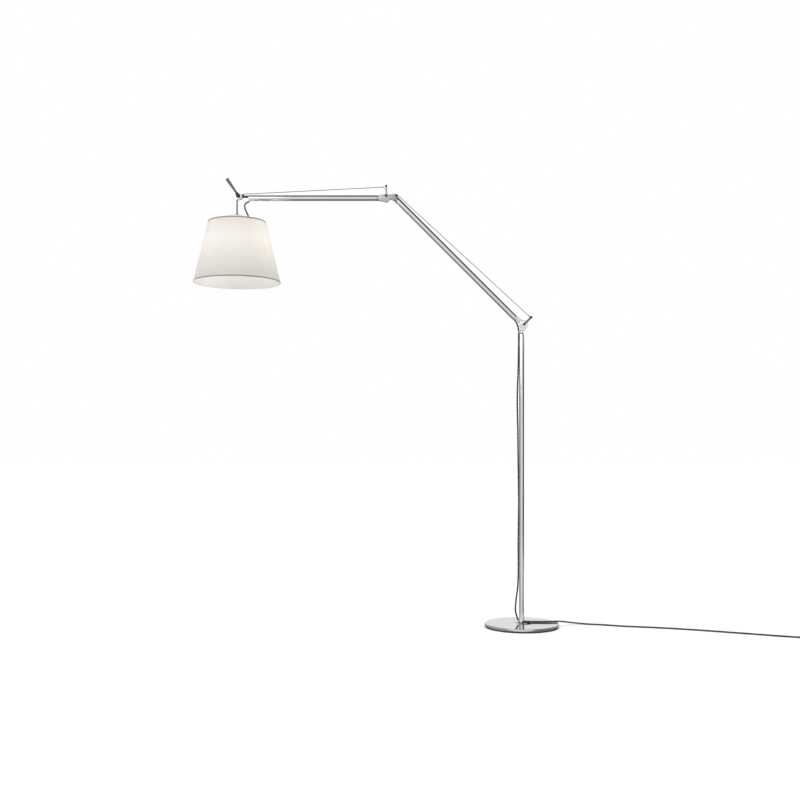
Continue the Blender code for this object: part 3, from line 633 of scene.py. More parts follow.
# The spare lead, wound into a coil beside the switch: turn by turn (degrees, radius, height)
coilSettings = {
    "centre": Vector((1.422, -0.2615, 0)), "radius": 0.0385, "perTurn": 40,
    "tie": {
        "turn": 2.35, "height": 0.0078, "wide": 0.0082, "high": 0.0077, "corner": 0.0038, "half": 0.004, "thick": 1.10,
    },
    "lanes": (
        (0, 0.0422, 0.0040), (290, 0.0422, 0.0040), (360, 0.0348, 0.0040), (560, 0.0348, 0.0040),
        (640, 0.0348, 0.0112), (840, 0.0348, 0.0112), (910, 0.0422, 0.0112), (1170, 0.0422, 0.0112),
    ),
}
tailStart = Vector((1.3749, -0.3000, 0.0100))
plugStart = coilSettings["centre"] + Vector((coilSettings["radius"], 0.0320, 0.0125))


def coilRoute():
    s = coilSettings
    route = [tailStart, tailStart + Vector((0.0080, 0, -0.0006)), tailStart + Vector((0.0180, -0.0012, -0.0030))]
    route.append(tailStart + Vector((0.0300, -0.0030, -0.0054)))
    for (turnA, radiusA, heightA), (turnB, radiusB, heightB) in zip(s["lanes"], s["lanes"][1:]):
        steps = max(3, round((turnB - turnA) / 360 * s["perTurn"]))
        for step in range(steps):
            share = step / steps
            ease = share * share * (3 - 2 * share)
            turn = math.radians(turnA + (turnB - turnA) * share - 90)
            radius = radiusA + (radiusB - radiusA) * ease
            route.append(s["centre"] + polar(turn) * radius + Vector((0, 0, heightA + (heightB - heightA) * ease)))
    route.append(s["centre"] + Vector((0.0421, 0, 0.0112)))
    route.append(s["centre"] + Vector((0.0409, 0.0150, 0.0117)))
    route.append(s["centre"] + Vector((0.0391, 0.0260, 0.0123)))
    route.append(plugStart)
    return route


tailRoute = smoothRoute(coilRoute(), 180)
tailCord = makeTwistedFlex("tailCord", coilRoute(), ["tail_cord", "cord_coil"])
print("mains lead laid:", round(routeLength(mainsRoute) + routeLength(tailRoute), 2), "m")

# The cable up the pole, and the short ones over the joints
mastPoints = [
    (-0.0126, 0.0096, 1.4210), (-0.0128, 0.0099, 1.3950), (-0.0132, 0.0100, 1.3500), (-0.0160, 0.0050, 1.2430),
    (-0.0208, 0.0020, 1.0980), (-0.0180, 0.0030, 0.9520), (-0.0162, 0.0045, 0.8070), (-0.0130, 0.0100, 0.6140),
    (-0.0155, 0.0060, 0.4200), (-0.0165, 0.0040, 0.2260), (-0.0262, 0.0060, 0.1300), (-0.0290, 0.0110, 0.0810),
    (-0.0215, 0.0165, 0.0480), (-0.0170, 0.0180, 0.0360), (-0.0124, 0.0182, 0.0290),
]
kneePoints = [
    (-0.0424, 0, 1.4944), (-0.0382, 0, 1.4902), (-0.0335, 0, 1.4850), (-0.0272, 0.0008, 1.4760),
    (-0.0216, 0.0028, 1.4660), (-0.0174, 0.0055, 1.4540), (-0.0147, 0.0078, 1.4430),
    (-0.0132, 0.0091, 1.4360), (-0.0126, 0.0096, 1.4302),
]
elbowPoints = [
    (-0.6215, 0, 2.0730), (-0.6330, 0, 2.0720), (-0.6480, 0, 2.0690),
    (-0.6700, 0, 2.0680), (-0.6840, 0, 2.0700), (-0.6905, 0, 2.0715),
]
headPoints = [
    (-1.3170, 0, 2.0566), (-1.3215, 0, 2.0560), (-1.3330, 0, 2.0520), (-1.3400, 0, 2.0400),
    (-1.3385, 0, 2.0260), (-1.3310, 0, 2.0060), (-1.3250, 0, 1.9930), (-1.3235, 0, 1.9860),
]
mastCable = makeTwistedFlex("mastCable", mastPoints, ["mast_cable"], None)
kneeCable = makeTwistedFlex("kneeCable", kneePoints, ["knee_cable"], None)
elbowCable = makeSmoothFlex("elbowCable", elbowPoints, ["elbow_cable"], 0.0026)
headCable = makeSmoothFlex("headCable", headPoints, ["head_cable"], 0.0037)
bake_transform(mastCable)
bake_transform(kneeCable)
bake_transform(elbowCable)
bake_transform(headCable)
print("cables hung")


# Foot switch: two moulded halves with a round button, and a tapered sleeve at each end
switchSettings = {
    "centre": Vector((1.335, -0.300, 0)), "length": 0.078, "width": 0.046, "split": 0.010, "top": 0.0205,
    "button": 0.0122, "well": 0.0128, "corner": 0.012,
}


def addCapsuleBox(bm, centre, length, width, layers, corner, well=(), steps=8):
    rings = []
    for height, shrink in layers:
        ring = []
        for number, (signX, signY) in enumerate(((1, 1), (-1, 1), (-1, -1), (1, -1))):
            for step in range(steps + 1):
                turn = math.radians(90 * (number + step / steps))
                radius = corner - shrink
                ring.append(Vector((
                    centre.x + signX * (length / 2 - corner) + radius * math.cos(turn),
                    centre.y + signY * (width / 2 - corner) + radius * math.sin(turn),
                    height,
                )))
        rings.append([bm.verts.new(point) for point in ring])
    for height in well[1:]:  # a round well sunk into the top
        turns = [math.tau * (number + 0.5) / len(rings[0]) for number in range(len(rings[0]))]
        rings.append([bm.verts.new(centre + polar(turn, well[0], height)) for turn in turns])
    for here, there in zip(rings, rings[1:]):
        stitch(bm, here, there)
    bm.faces.new(rings[0])
    bm.faces.new(rings[-1])


def makeFootSwitch():
    s = switchSettings
    bm = bmesh.new()
    layers = [(0.0002, 0.0016), (0.0010, 0.0004), (0.0022, 0), (s["split"] - 0.0008, 0), (s["split"], 0.0006)]
    addCapsuleBox(bm, s["centre"], s["length"], s["width"], layers, s["corner"])
    made = [makePiece("switchBase", bm, "blackPlastic", "base", ["switch_base"])]
    bm = bmesh.new()
    low = s["split"] + gap
    layers = [(low, 0.0006), (low + 0.0008, 0), (0.0165, 0.0004), (0.0186, 0.0014), (0.0198, 0.0032), (0.0204, 0.0060)]
    addCapsuleBox(bm, s["centre"], s["length"], s["width"], layers, s["corner"], (s["well"], 0.0204, 0.0135))
    well = s["well"]
    rim = [(well, 0.0196), (well + 0.0022, 0.0196), (well + 0.0016, 0.0209), (well + 0.0004, 0.0209)]
    addTurned(bm, softened(rim, 0.0003, 2), Matrix.Translation(s["centre"]), 48)
    made.append(makePiece("switchCover", bm, "blackPlastic", "base", ["switch_cover"]))
    bm = bmesh.new()
    top = [(0, 0.0175), (s["button"], 0.0175), (s["button"], 0.0226), (0.0110, 0.0238), (0.0060, 0.0233), (0, 0.0229)]
    addTurned(bm, softened(top, 0.0005, 3), Matrix.Translation(s["centre"]), 48)
    makePiece("switchButton", bm, "blackPlastic", "button", ["switch_button"])
    for name, sign in (("switchSleeveIn", -1), ("switchSleeveOut", 1)):
        bm = bmesh.new()
        reach = s["length"] / 2 - 0.002
        outline = [(0.0037, 0), (0.0064, 0), (0.0060, 0.005), (0.0048, 0.021), (0.0038, 0.022)]
        for ringStart in (0.006, 0.010, 0.014):
            taper = 0.08 * ringStart
            outline[-2:-2] = [
                (0.0061 - taper, ringStart), (0.0053 - taper, ringStart + 0.0008),
                (0.0053 - taper, ringStart + 0.0018), (0.0060 - taper, ringStart + 0.0026),
            ]
        drop = Matrix.Translation(s["centre"] + Vector((sign * reach, 0, 0.0100)))
        tip = Matrix.Rotation(math.radians(90 * sign), 4, "Y")
        addTurned(bm, outline, drop @ tip, 28)
        made.append(makePiece(name, bm, "blackPlastic", "base"))
    return made


switchPieces = makeFootSwitch()

# Plug with two round pins, and the tie round the coil
plugSettings = {
    "outline": (
        (0.0037, 0.0000), (0.0050, 0.0000), (0.0052, 0.0030), (0.0047, 0.0034), (0.0047, 0.0050), (0.0054, 0.0054),
        (0.0055, 0.0085), (0.0050, 0.0089), (0.0050, 0.0105), (0.0057, 0.0109), (0.0058, 0.0145), (0.0053, 0.0149),
        (0.0053, 0.0165), (0.0060, 0.0169), (0.0062, 0.0215), (0.0105, 0.0245), (0.0119, 0.0270), (0.0123, 0.0330),
        (0.0114, 0.0400), (0.0114, 0.0480), (0.0121, 0.0540), (0.0121, 0.0592), (0.0115, 0.0600), (0.0037, 0.0600),
    ),
    "pinRadius": 0.0020, "pinShift": 0.0095, "pinStart": 0.0585, "pinEnd": 0.079,
}


def makePlug():
    s = plugSettings
    place = Matrix.Translation(plugStart) @ alongY
    bm = bmesh.new()
    addTurned(bm, softened(s["outline"], 0.0005, 2), place, 40)
    plug = makePiece("mainsPlug", bm, "blackPlastic", "base", ["plug"])
    bm = bmesh.new()
    pin, start, end = s["pinRadius"], s["pinStart"], s["pinEnd"]
    for shift in (-s["pinShift"], s["pinShift"]):
        foot = place @ Matrix.Translation((shift, 0, 0))
        sleeve = [(0, start), (pin, start), (pin, end - 0.0012), (0.0012, end), (0, end)]
        addTurned(bm, softened(sleeve, 0.0004, 3), foot, 20)
    pins = makePiece("plugPins", bm, "plugBrass", "base")
    return [plug, pins]


def makeCoilTie():
    s, tie = coilSettings, coilSettings["tie"]
    out = polar(tie["turn"])
    centre = s["centre"] + out * s["radius"] + Vector((0, 0, tie["height"]))
    corner, half, thick = tie["corner"], tie["half"], tie["thick"]
    route = []
    for number, (signOut, signUp) in enumerate(((1, 1), (-1, 1), (-1, -1), (1, -1))):
        for step in range(7):
            turn = math.radians(90 * (number + step / 6))
            across = signOut * (tie["wide"] - corner) + corner * math.cos(turn)
            up = signUp * (tie["high"] - corner) + corner * math.sin(turn)
            route.append(centre + out * across + Vector((0, 0, up)))
    along = Vector((-out.y, out.x, 0))
    bm = bmesh.new()
    section = ((1.0, -half), (thick, -half), (thick, half), (1.0, half))
    rings = [
        [bm.verts.new(centre + (point - centre) * size + along * shift) for size, shift in section]
        for point in route
    ]
    for here, there in zip(rings, rings[1:] + rings[:1]):
        stitch(bm, here, there)
    return makePiece("coilTie", bm, "blackPlastic", "base")


plugPieces = makePlug()
coilTie = makeCoilTie()
mastRoute = smoothRoute(mastPoints, 66)
print("switch, coil and plug made")


# Base: a spun disc over an iron weight, on a ribbed rubber pad
baseSettings = {
    "radius": 0.1775, "bottom": 0.0060, "top": 0.0185, "round": 0.0022, "wall": 0.0015, "hole": 0.0123,
    "pad": 0.1755, "padRim": 0.1580, "padRimTop": 0.0055, "padTop": 0.0020, "sides": 200,
}


def makeBase():
    s = baseSettings
    outer, top = s["radius"], s["top"]
    inner, innerTop = outer - s["wall"], top - s["wall"]
    outline = [(inner, s["bottom"]), (outer - 0.0004, s["bottom"]), (outer, s["bottom"] + 0.0004)]
    for step in range(13):
        turn = math.radians(90 * step / 12)
        outline.append((outer - s["round"] * (1 - math.cos(turn)), top - s["round"] * (1 - math.sin(turn))))
    outline += [(0.120, top), (0.060, top), (s["hole"] + 0.0008, top), (s["hole"], top - 0.0006)]
    outline += [(s["hole"], innerTop), (0.09, innerTop), (inner - 0.003, innerTop), (inner, innerTop - 0.003)]
    bm = bmesh.new()
    addTurned(bm, outline, sides=s["sides"])
    makePiece("baseCover", bm, "spunAluminium", "base", ["base_cover"], sharp=50)
    outline = [(0, s["padTop"]), (s["padRim"], s["padTop"]), (s["padRim"], s["padRimTop"]), (s["pad"], s["padRimTop"])]
    outline += [(s["pad"], 0.0006), (s["pad"] - 0.0008, 0)]
    ribs = 9
    for number in range(ribs):
        edge = s["pad"] - 0.006 - number * 0.0165
        outline += [(edge, 0), (edge - 0.0012, 0.0008), (edge - 0.0050, 0.0008), (edge - 0.0062, 0)]
    outline.append((0, 0))
    bm = bmesh.new()
    addTurned(bm, outline, sides=120)
    makePiece("basePad", bm, "rubber", "base", ["base_pad"])


# Pole, its collar and the clip that holds the cable at its foot
poleSettings = {"radius": 0.0120, "wall": 0.0012, "low": 0.0083, "sides": 72}


def makePole():
    s = poleSettings
    top = pivots["pole_swivel"].z
    inner = s["radius"] - s["wall"]
    bm = bmesh.new()
    outline = [(inner, s["low"]), (s["radius"], s["low"]), (s["radius"], top), (inner, top)]
    addTurned(bm, softened(outline, 0.0006), sides=s["sides"])
    makePiece("poleTube", bm, "polishedAluminium", "base", ["pole_tube"])
    bm = bmesh.new()
    outline = [
        (0.0046, top - 0.031), (inner - gap, top - 0.031), (inner - gap, top + gap), (s["radius"] - 0.0004, top + gap),
        (s["radius"] - 0.0018, top + 0.0030), (0.0046, top + 0.0030),
    ]
    addTurned(bm, softened(outline, 0.0005), sides=56)
    makePiece("poleCollar", bm, "castAluminium", "base", ["pole_top_bush"])
    bm = bmesh.new()
    addBox(bm, (-0.0084, s["radius"] + gap, s["low"] + 0.0105), (0.0084, 0.0235, 0.033), 0.0016)
    addBox(bm, (-0.0090, 0.0135, 0.0235), (0.0090, 0.0238, 0.0285), 0.0010)
    screw = Matrix.Translation((0, 0.0236, 0.0260)) @ alongY
    addTurned(bm, [(0, -0.001), (0.0026, -0.001), (0.0026, 0.0003), (0.0018, 0.0008), (0, 0.0010)], screw, 24)
    makePiece("cableClip", bm, "blackPlastic", "base", ["foot_clip"])


makeBase()
makePole()
print("base and pole made")


def pinOutline(shaft, head, reach, tip, recess=0.4):
    dish = tip - 0.0007
    upper = [(shaft, reach), (head, reach), (head, tip - 0.0010), (head - 0.0009, tip)]
    upper += [(head * recess + 0.0003, tip), (head * recess, dish), (0, dish)]
    return [(radius, -height) for radius, height in reversed(upper)] + upper


def makePin(name, place, sizes, body, node, finish="blackPlastic"):
    bm = bmesh.new()
    addTurned(bm, softened(pinOutline(*sizes), 0.00035, 2), place @ alongY, 36)
    return makePiece(name, bm, finish, body, [node])


# Knee: a forked bracket that turns on the pole, and the twin lever for the lower wire
kneeSettings = {
    "centre": (0.0097, 0.0447), "cheek": 0.0200, "inside": 0.0125, "outside": 0.0165, "neck": 0.0064,
    "lever": 0.0490, "leverLow": 0.0168, "leverHigh": 0.0198,
}


def makeKnee():
    s = kneeSettings
    x, z = s["centre"]
    bm = bmesh.new()
    addPair(bm, [(x, z, s["cheek"])], s["inside"], s["outside"], polePlace, 0.0018, 80)
    addPair(bm, [(x, z, 0.0092)], s["outside"] - 0.0002, s["outside"] + gap, polePlace, 0.0002, 48)
    addBox(bm, (x - 0.0078, -0.0130, z - 0.0191), (x + 0.0078, 0.0130, z - 0.0163), 0.0008, polePlace)
    addPlate(bm, [(0, 0.0205, 0.0066), (x + 0.003, 0.0228, 0.0055)], -0.0150, 0.0150, polePlace, 0.0012)
    neck = [(0.0046, 0.0034), (s["neck"] + 0.0012, 0.0034), (s["neck"] + 0.0012, 0.0060)]
    neck += [(s["neck"], 0.0068), (s["neck"], 0.0215), (0.0046, 0.0215)]
    addTurned(bm, softened(neck, 0.0004), polePlace, 48)
    makePiece("kneeBracket", bm, "satinCasting", "bracket", ["knee_bracket"])

    middle = polePlace @ Matrix.Translation((x, 0, z))
    makePin("kneePin", middle, (0.0040, 0.0056, 0.0202, 0.0236), "bracket", "knee_pin")
    rise = s["lever"] * math.sin(math.pi / 4)
    bm = bmesh.new()
    lever = [(x, z, 0.0057), (x + rise, z + rise, 0.0050)]
    addPair(bm, lever, s["leverLow"], s["leverHigh"], polePlace, 0.0006, 56)
    makePiece("kneeLever", bm, "darkSteel", "bracket", ["knee_lever_front", "knee_lever_back"])
    tip = polePlace @ Matrix.Translation((x + rise, 0, z + rise))
    makePin("kneeLeverPin", tip, (0.0021, 0.0058, 0.0201, 0.0230), "bracket", "knee_lever_pin")
    bm = bmesh.new()
    addBox(bm, (-0.0100, 0.0050, 0.0045), (-0.0052, 0.0142, 0.0125), 0.0012, polePlace)
    addTurned(bm, softened([(0.0037, 0.0040), (0.0049, 0.0040), (0.0049, 0.0130), (0.0037, 0.0130)], 0.0005),
              polePlace @ Matrix.Translation((-0.0126, 0.0096, 0)), 32)
    makePiece("neckClip", bm, "castAluminium", "bracket", ["neck_clip"])


makeKnee()

# Arms: polished tubes with their end castings. Each place is along the arm from its own pivot
armSettings = {
    "radius": 0.0135, "wall": 0.0012, "sides": 72,
    "lower": {"axis": -0.0065, "start": 0.0540, "end": 0.8550, "body": "lower_arm"},
    "upper": {"axis": -0.0099, "start": 0.0467, "end": 0.6647, "body": "upper_arm"},
}


def makeArmTube(side, place):
    s, arm = armSettings, armSettings[side]
    inner = s["radius"] - s["wall"]
    outline = [(inner, arm["start"]), (s["radius"], arm["start"]), (s["radius"], arm["end"]), (inner, arm["end"])]
    bm = bmesh.new()
    addTurned(bm, softened(outline, 0.0006), place @ Matrix.Translation((0, 0, arm["axis"])) @ alongX, s["sides"])
    makePiece(side + "ArmTube", bm, "polishedAluminium", arm["body"], [side + "_tube"])


def addPulley(bm, centre, radius, halfWidth, place):
    groove, rim = radius - 0.0013, 0.25 * halfWidth
    outline = [(0.0010, -halfWidth), (radius, -halfWidth), (radius, -halfWidth + rim), (groove, 0)]
    outline += [(radius, halfWidth - rim), (radius, halfWidth), (0.0010, halfWidth)]
    addTurned(bm, softened(outline, 0.0003, 2), place @ Matrix.Translation(centre) @ alongY, 36)


lowerSettings = {
    "heel": ((0, 0, 0.0120), (0.0474, 0.0002, 0.0060)), "heelHalf": 0.0107,
    "pulley": Vector((0.8782, 0, 0.0062)), "elbow": (0.9107, -0.0298), "capEnd": 0.8700, "lever": 0.0490,
}


def makeLowerArm():
    s, arm = lowerSettings, armSettings["lower"]
    onAxis = lowerPlace @ Matrix.Translation((0, 0, arm["axis"])) @ alongX
    makeArmTube("lower", lowerPlace)
    bm = bmesh.new()
    addPlate(bm, s["heel"], -s["heelHalf"], s["heelHalf"], lowerPlace, 0.0028, 72)
    addTurned(bm, softened([(0, 0.0500), (0.0119, 0.0500), (0.0119, 0.0850), (0, 0.0850)], 0.0012), onAxis, 56)
    addPair(bm, [(0, 0, 0.0088)], s["heelHalf"] - 0.0004, s["heelHalf"] + 0.0002, lowerPlace, 0.0002, 48)  # bosses
    makePiece("lowerHeel", bm, "satinCasting", "lower_arm", ["lower_heel"])

    start, end, axis = arm["end"] + gap, s["capEnd"], arm["axis"]
    bm = bmesh.new()
    cap = [(0, 0.8260), (0.0119, 0.8260), (0.0119, start), (0.0135, start)]
    cap += [(0.0135, end - 0.0035), (0.0118, end), (0, end)]
    addTurned(bm, softened(cap, 0.0010), onAxis, 56)
    circles = [(s["pulley"].x, s["pulley"].z, 0.0066), (*s["elbow"], 0.0066), (end - 0.004, axis, 0.0112)]
    addPair(bm, circles, 0.0036, 0.0070, lowerPlace, 0.0015, 72)
    makePiece("lowerHead", bm, "steelPlate", "lower_arm", ["lower_head"])

    bm = bmesh.new()
    addPulley(bm, s["pulley"], 0.0050, 0.0032, lowerPlace)
    makePiece("lowerPulley", bm, "blackPlastic", "lower_arm", ["lower_pulley"])
    atPulley = lowerPlace @ Matrix.Translation(s["pulley"])
    makePin("lowerPulleyPin", atPulley, (0.0015, 0.0054, 0.0073, 0.0100), "lower_arm", "lower_pulley_pin")
    elbowX, elbowZ = s["elbow"]
    rise = s["lever"] * math.sin(math.pi / 4)
    bm = bmesh.new()
    lever = [(elbowX, elbowZ, 0.0060), (elbowX + rise, elbowZ + rise, 0.0040)]
    addPlate(bm, lever, -0.0030, 0.0030, lowerPlace, 0.0008, 56)
    makePiece("elbowLever", bm, "steelPlate", "lower_arm", ["elbow_lever"])
    tip = lowerPlace @ Matrix.Translation((elbowX + rise, 0, elbowZ + rise))
    makePin("elbowLeverPin", tip, (0.0018, 0.0052, 0.0033, 0.0064), "lower_arm", "elbow_lever_pin")
    atElbow = lowerPlace @ Matrix.Translation((elbowX, 0, elbowZ))
    makePin("elbowPin", atElbow, (0.0040, 0.0056, 0.0113, 0.0148), "lower_arm", "elbow_pin")


makeLowerArm()

upperSettings = {
    "cheeks": ((0, 0, 0.0085), (-0.0165, -0.0130, 0.0040), (-0.0045, -0.0255, 0.0040), (0.0310, -0.0099, 0.0125)),
    "spigot": 0.0054, "spigotHeight": -0.0030, "spigotEnd": 0.6950,
    "tipPulley": Vector((0.6927, 0, 0.0035)), "head": (0.7107, -0.0046),
}


def makeUpperArm():
    s, arm = upperSettings, armSettings["upper"]
    onAxis = upperPlace @ Matrix.Translation((0, 0, arm["axis"])) @ alongX
    makeArmTube("upper", upperPlace)
    bm = bmesh.new()
    addPair(bm, s["cheeks"], 0.0076, 0.0110, upperPlace, 0.0016, 80)
    cap = [(0, 0.0352), (0.0126, 0.0352), (0.0135, 0.0375), (0.0135, 0.0464)]
    cap += [(0.0119, 0.0464), (0.0119, 0.0790), (0, 0.0790)]
    addTurned(bm, softened(cap, 0.0008), onAxis, 56)
    makePiece("upperFork", bm, "castAluminium", "upper_arm", ["upper_fork"])

    bm = bmesh.new()
    end = arm["end"]
    plug = [(0, end - 0.034), (0.0119, end - 0.034), (0.0119, end - 0.001), (0, end - 0.001)]
    addTurned(bm, softened(plug, 0.0008), onAxis, 48)
    radius, tip = s["spigot"], s["spigotEnd"]
    spigot = [(0, end - 0.006), (radius + 0.0010, end - 0.006), (radius + 0.0010, end + 0.0015)]
    spigot += [(radius, end + 0.003), (radius, tip), (0, tip)]
    addTurned(bm, softened(spigot, 0.0010), upperPlace @ Matrix.Translation((0, 0, s["spigotHeight"])) @ alongX, 40)
    headX, headZ = s["head"]
    addPlate(bm, [(0.6940, -0.0032, 0.0050), (headX, headZ, 0.0075)], -0.0045, 0.0045, upperPlace, 0.0008, 56)
    pulleyX, pulleyZ = s["tipPulley"].x, s["tipPulley"].z
    addPair(bm, [(pulleyX, pulleyZ, 0.0036), (pulleyX, -0.0030, 0.0042)], 0.0023, 0.0040, upperPlace, 0.0003, 40)
    makePiece("upperTip", bm, "blackPlastic", "upper_arm", ["upper_tip"])
    bm = bmesh.new()
    addPulley(bm, s["tipPulley"], 0.0048, 0.0019, upperPlace)
    makePiece("tipPulley", bm, "blackPlastic", "upper_arm", ["tip_pulley"])
    atPulley = upperPlace @ Matrix.Translation(s["tipPulley"])
    sizes = (0.0012, 0.0028, 0.0048, 0.0062)
    makePin("tipPulleyPin", atPulley, sizes, "upper_arm", "tip_pulley_pin", "steelPlate")


makeUpperArm()
print("arms made")

# Pull wires: steel rope from a lever's tip over the pulley at the arm's far end and into the tube
wireSettings = {
    "radius": 0.0015, "lever": 0.0490,
    "lower": {"start": (0.0026, 0.0489), "wrap": 0.0064, "into": (0.8695, -0.0010)},
    "upper": {"start": (0.0098, 0.0436), "wrap": 0.0058, "into": (0.6800, -0.0028)},
}


def wireRoute(side, pulley, place):
    s = wireSettings[side]
    start = Vector((s["start"][0], 0, s["start"][1]))
    route = []
    touch = pulley + Vector((-0.0010, 0, s["wrap"]))
    for step in range(60):
        route.append(start.lerp(touch, step / 60))
    for step in range(13):
        turn = math.radians(98 - 188 * step / 12)
        route.append(pulley + Vector((math.cos(turn), 0, math.sin(turn))) * s["wrap"])
    route.append(Vector((s["into"][0], 0, s["into"][1])))
    return [place @ point for point in route]


def makeWires():
    s = wireSettings
    bm = bmesh.new()
    route = wireRoute("lower", lowerSettings["pulley"], lowerPlace)
    addSweep(bm, route, s["radius"], 12)
    wire = makePiece("lowerWire", bm, "wireRope", None, ["lower_wire"])
    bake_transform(wire)
    eye = lowerPlace @ Matrix.Translation((0, 0, s["lever"]))
    bm = bmesh.new()
    loop = [eye @ Vector((0.0037 * math.cos(turn), 0, 0.0037 * math.sin(turn))) for turn in
            (math.tau * step / 24 for step in range(25))]
    addSweep(bm, loop, 0.0011, 10)
    along = (route[1] - route[0]).normalized()
    sleeve = Matrix.Translation(route[0] + along * 0.0035) @ along.to_track_quat("Z", "Y").to_matrix().to_4x4()
    addTurned(bm, softened([(0.0010, 0), (0.0022, 0), (0.0022, 0.011), (0.0010, 0.011)], 0.0005), sleeve, 24)
    makePiece("lowerWireEye", bm, "springSteel", "bracket")

    bm = bmesh.new()
    route = wireRoute("upper", upperSettings["tipPulley"], upperPlace)
    addSweep(bm, route, s["radius"], 12)
    wire = makePiece("upperWire", bm, "wireRope", None, ["upper_wire"])
    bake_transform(wire)
    bm = bmesh.new()
    hook = [(0.0128, 0.0430), (0.0104, 0.0442), (0.0090, 0.0428), (0.0062, 0.0372)]
    hook += [(0.0030, 0.0310), (0.0012, 0.0296), (-0.0006, 0.0310)]
    hookRoute = smoothRoute([upperPlace @ Vector((x, 0.0036, z)) for x, z in hook], 30)
    addSweep(bm, hookRoute, 0.0010, 10)
    along = (route[1] - route[0]).normalized()
    sleeve = Matrix.Translation(route[0] + along * 0.0010) @ along.to_track_quat("Z", "Y").to_matrix().to_4x4()
    addTurned(bm, softened([(0.0010, 0), (0.0021, 0), (0.0021, 0.010), (0.0010, 0.010)], 0.0005), sleeve, 24)
    makePiece("upperWireHook", bm, "springSteel", "lower_arm")


makeWires()
print("wires strung")

# Head joint: a polished disc in two halves, a black clamp with the aiming handle
headSettings = {
    "disc": 0.0145, "inside": 0.0050, "outside": 0.0080, "handleTurn": math.radians(124.4),
    "handleStart": 0.0303, "handleLength": 0.078, "shift": -0.0110, "stem": 0.0038,
}


def makeHeadJoint():
    s = headSettings
    bm = bmesh.new()
    for sign in (-1, 1):
        disc = [(0.0034, s["inside"]), (s["disc"] - 0.0004, s["inside"]), (s["disc"], s["inside"] + 0.0006),
                (s["disc"] - 0.0002, s["inside"] + 0.0014), (s["disc"] - 0.0016, s["outside"] - 0.0004),
                (0.0080, s["outside"]), (0.0034, s["outside"] + 0.0002)]
        turn = alongY if sign > 0 else alongY @ Matrix.Rotation(math.pi, 4, "X")
        addTurned(bm, disc, headPlace @ turn, 72)
    addBox(bm, (-0.0142, -0.0052, -0.0060), (-0.0096, 0.0052, 0.0040), 0.0006, headPlace)
    addPlate(bm, [(s["shift"], -0.0072, 0.0032), (s["shift"], -0.0100, 0.0032)], -0.0052, 0.0052, headPlace, 0.0004, 32)
    makePiece("headDisc", bm, "polishedAluminium", "head", ["head_fork"])

    along = Vector((math.cos(s["handleTurn"]), 0, math.sin(s["handleTurn"])))
    neck = 0.0240 * along
    bm = bmesh.new()
    addPair(bm, [(-0.0040, 0.0035, 0.0100), (neck.x, neck.z, 0.0055)], 0.0084, 0.0118, headPlace, 0.0010, 72)
    bridge = [(0.0164 * along.x, 0.0164 * along.z + 0.004, 0.0040), (neck.x, neck.z, 0.0055)]
    addPlate(bm, bridge, -0.0116, 0.0116, headPlace, 0.0010, 48)
    makePiece("handleClamp", bm, "blackPlastic", "head", ["handle_clamp"])
    makePin("headPin", headPlace, (0.0030, 0.0048, 0.0121, 0.0142), "head", "head_pin")

    length = s["handleLength"]
    outline = [(0, 0), (0.0044, 0), (0.0050, 0.0016), (0.0052, 0.0030), (0.0060, 0.0260), (0.0070, 0.0510),
               (0.0079, length - 0.0100), (0.0080, length - 0.0060), (0.0076, length - 0.0022)]
    outline += [(0.0060, length), (0, length)]
    turned = along.to_track_quat("Z", "Y").to_matrix().to_4x4()
    place = headPlace @ Matrix.Translation(s["handleStart"] * along) @ turned
    bm = bmesh.new()
    addTurned(bm, softened(outline, 0.0014, 4), place, 48)
    makePiece("tiltHandle", bm, "handleGrey", "head", ["handle"])


makeHeadJoint()

# Shade: stem, carrier, wire spider, woven cone with a seam, and a tape round each rim
shadeSettings = {
    "top": -0.120, "bottom": -0.415, "topRadius": 0.138, "bottomRadius": 0.209, "wall": 0.0012,
    "tape": 0.0065, "tapeWall": 0.0008, "sides": 220, "rows": 14, "seam": math.radians(90),
}


def shadeRadius(height):
    s = shadeSettings
    share = (s["top"] - height) / (s["top"] - s["bottom"])
    return s["topRadius"] + (s["bottomRadius"] - s["topRadius"]) * share


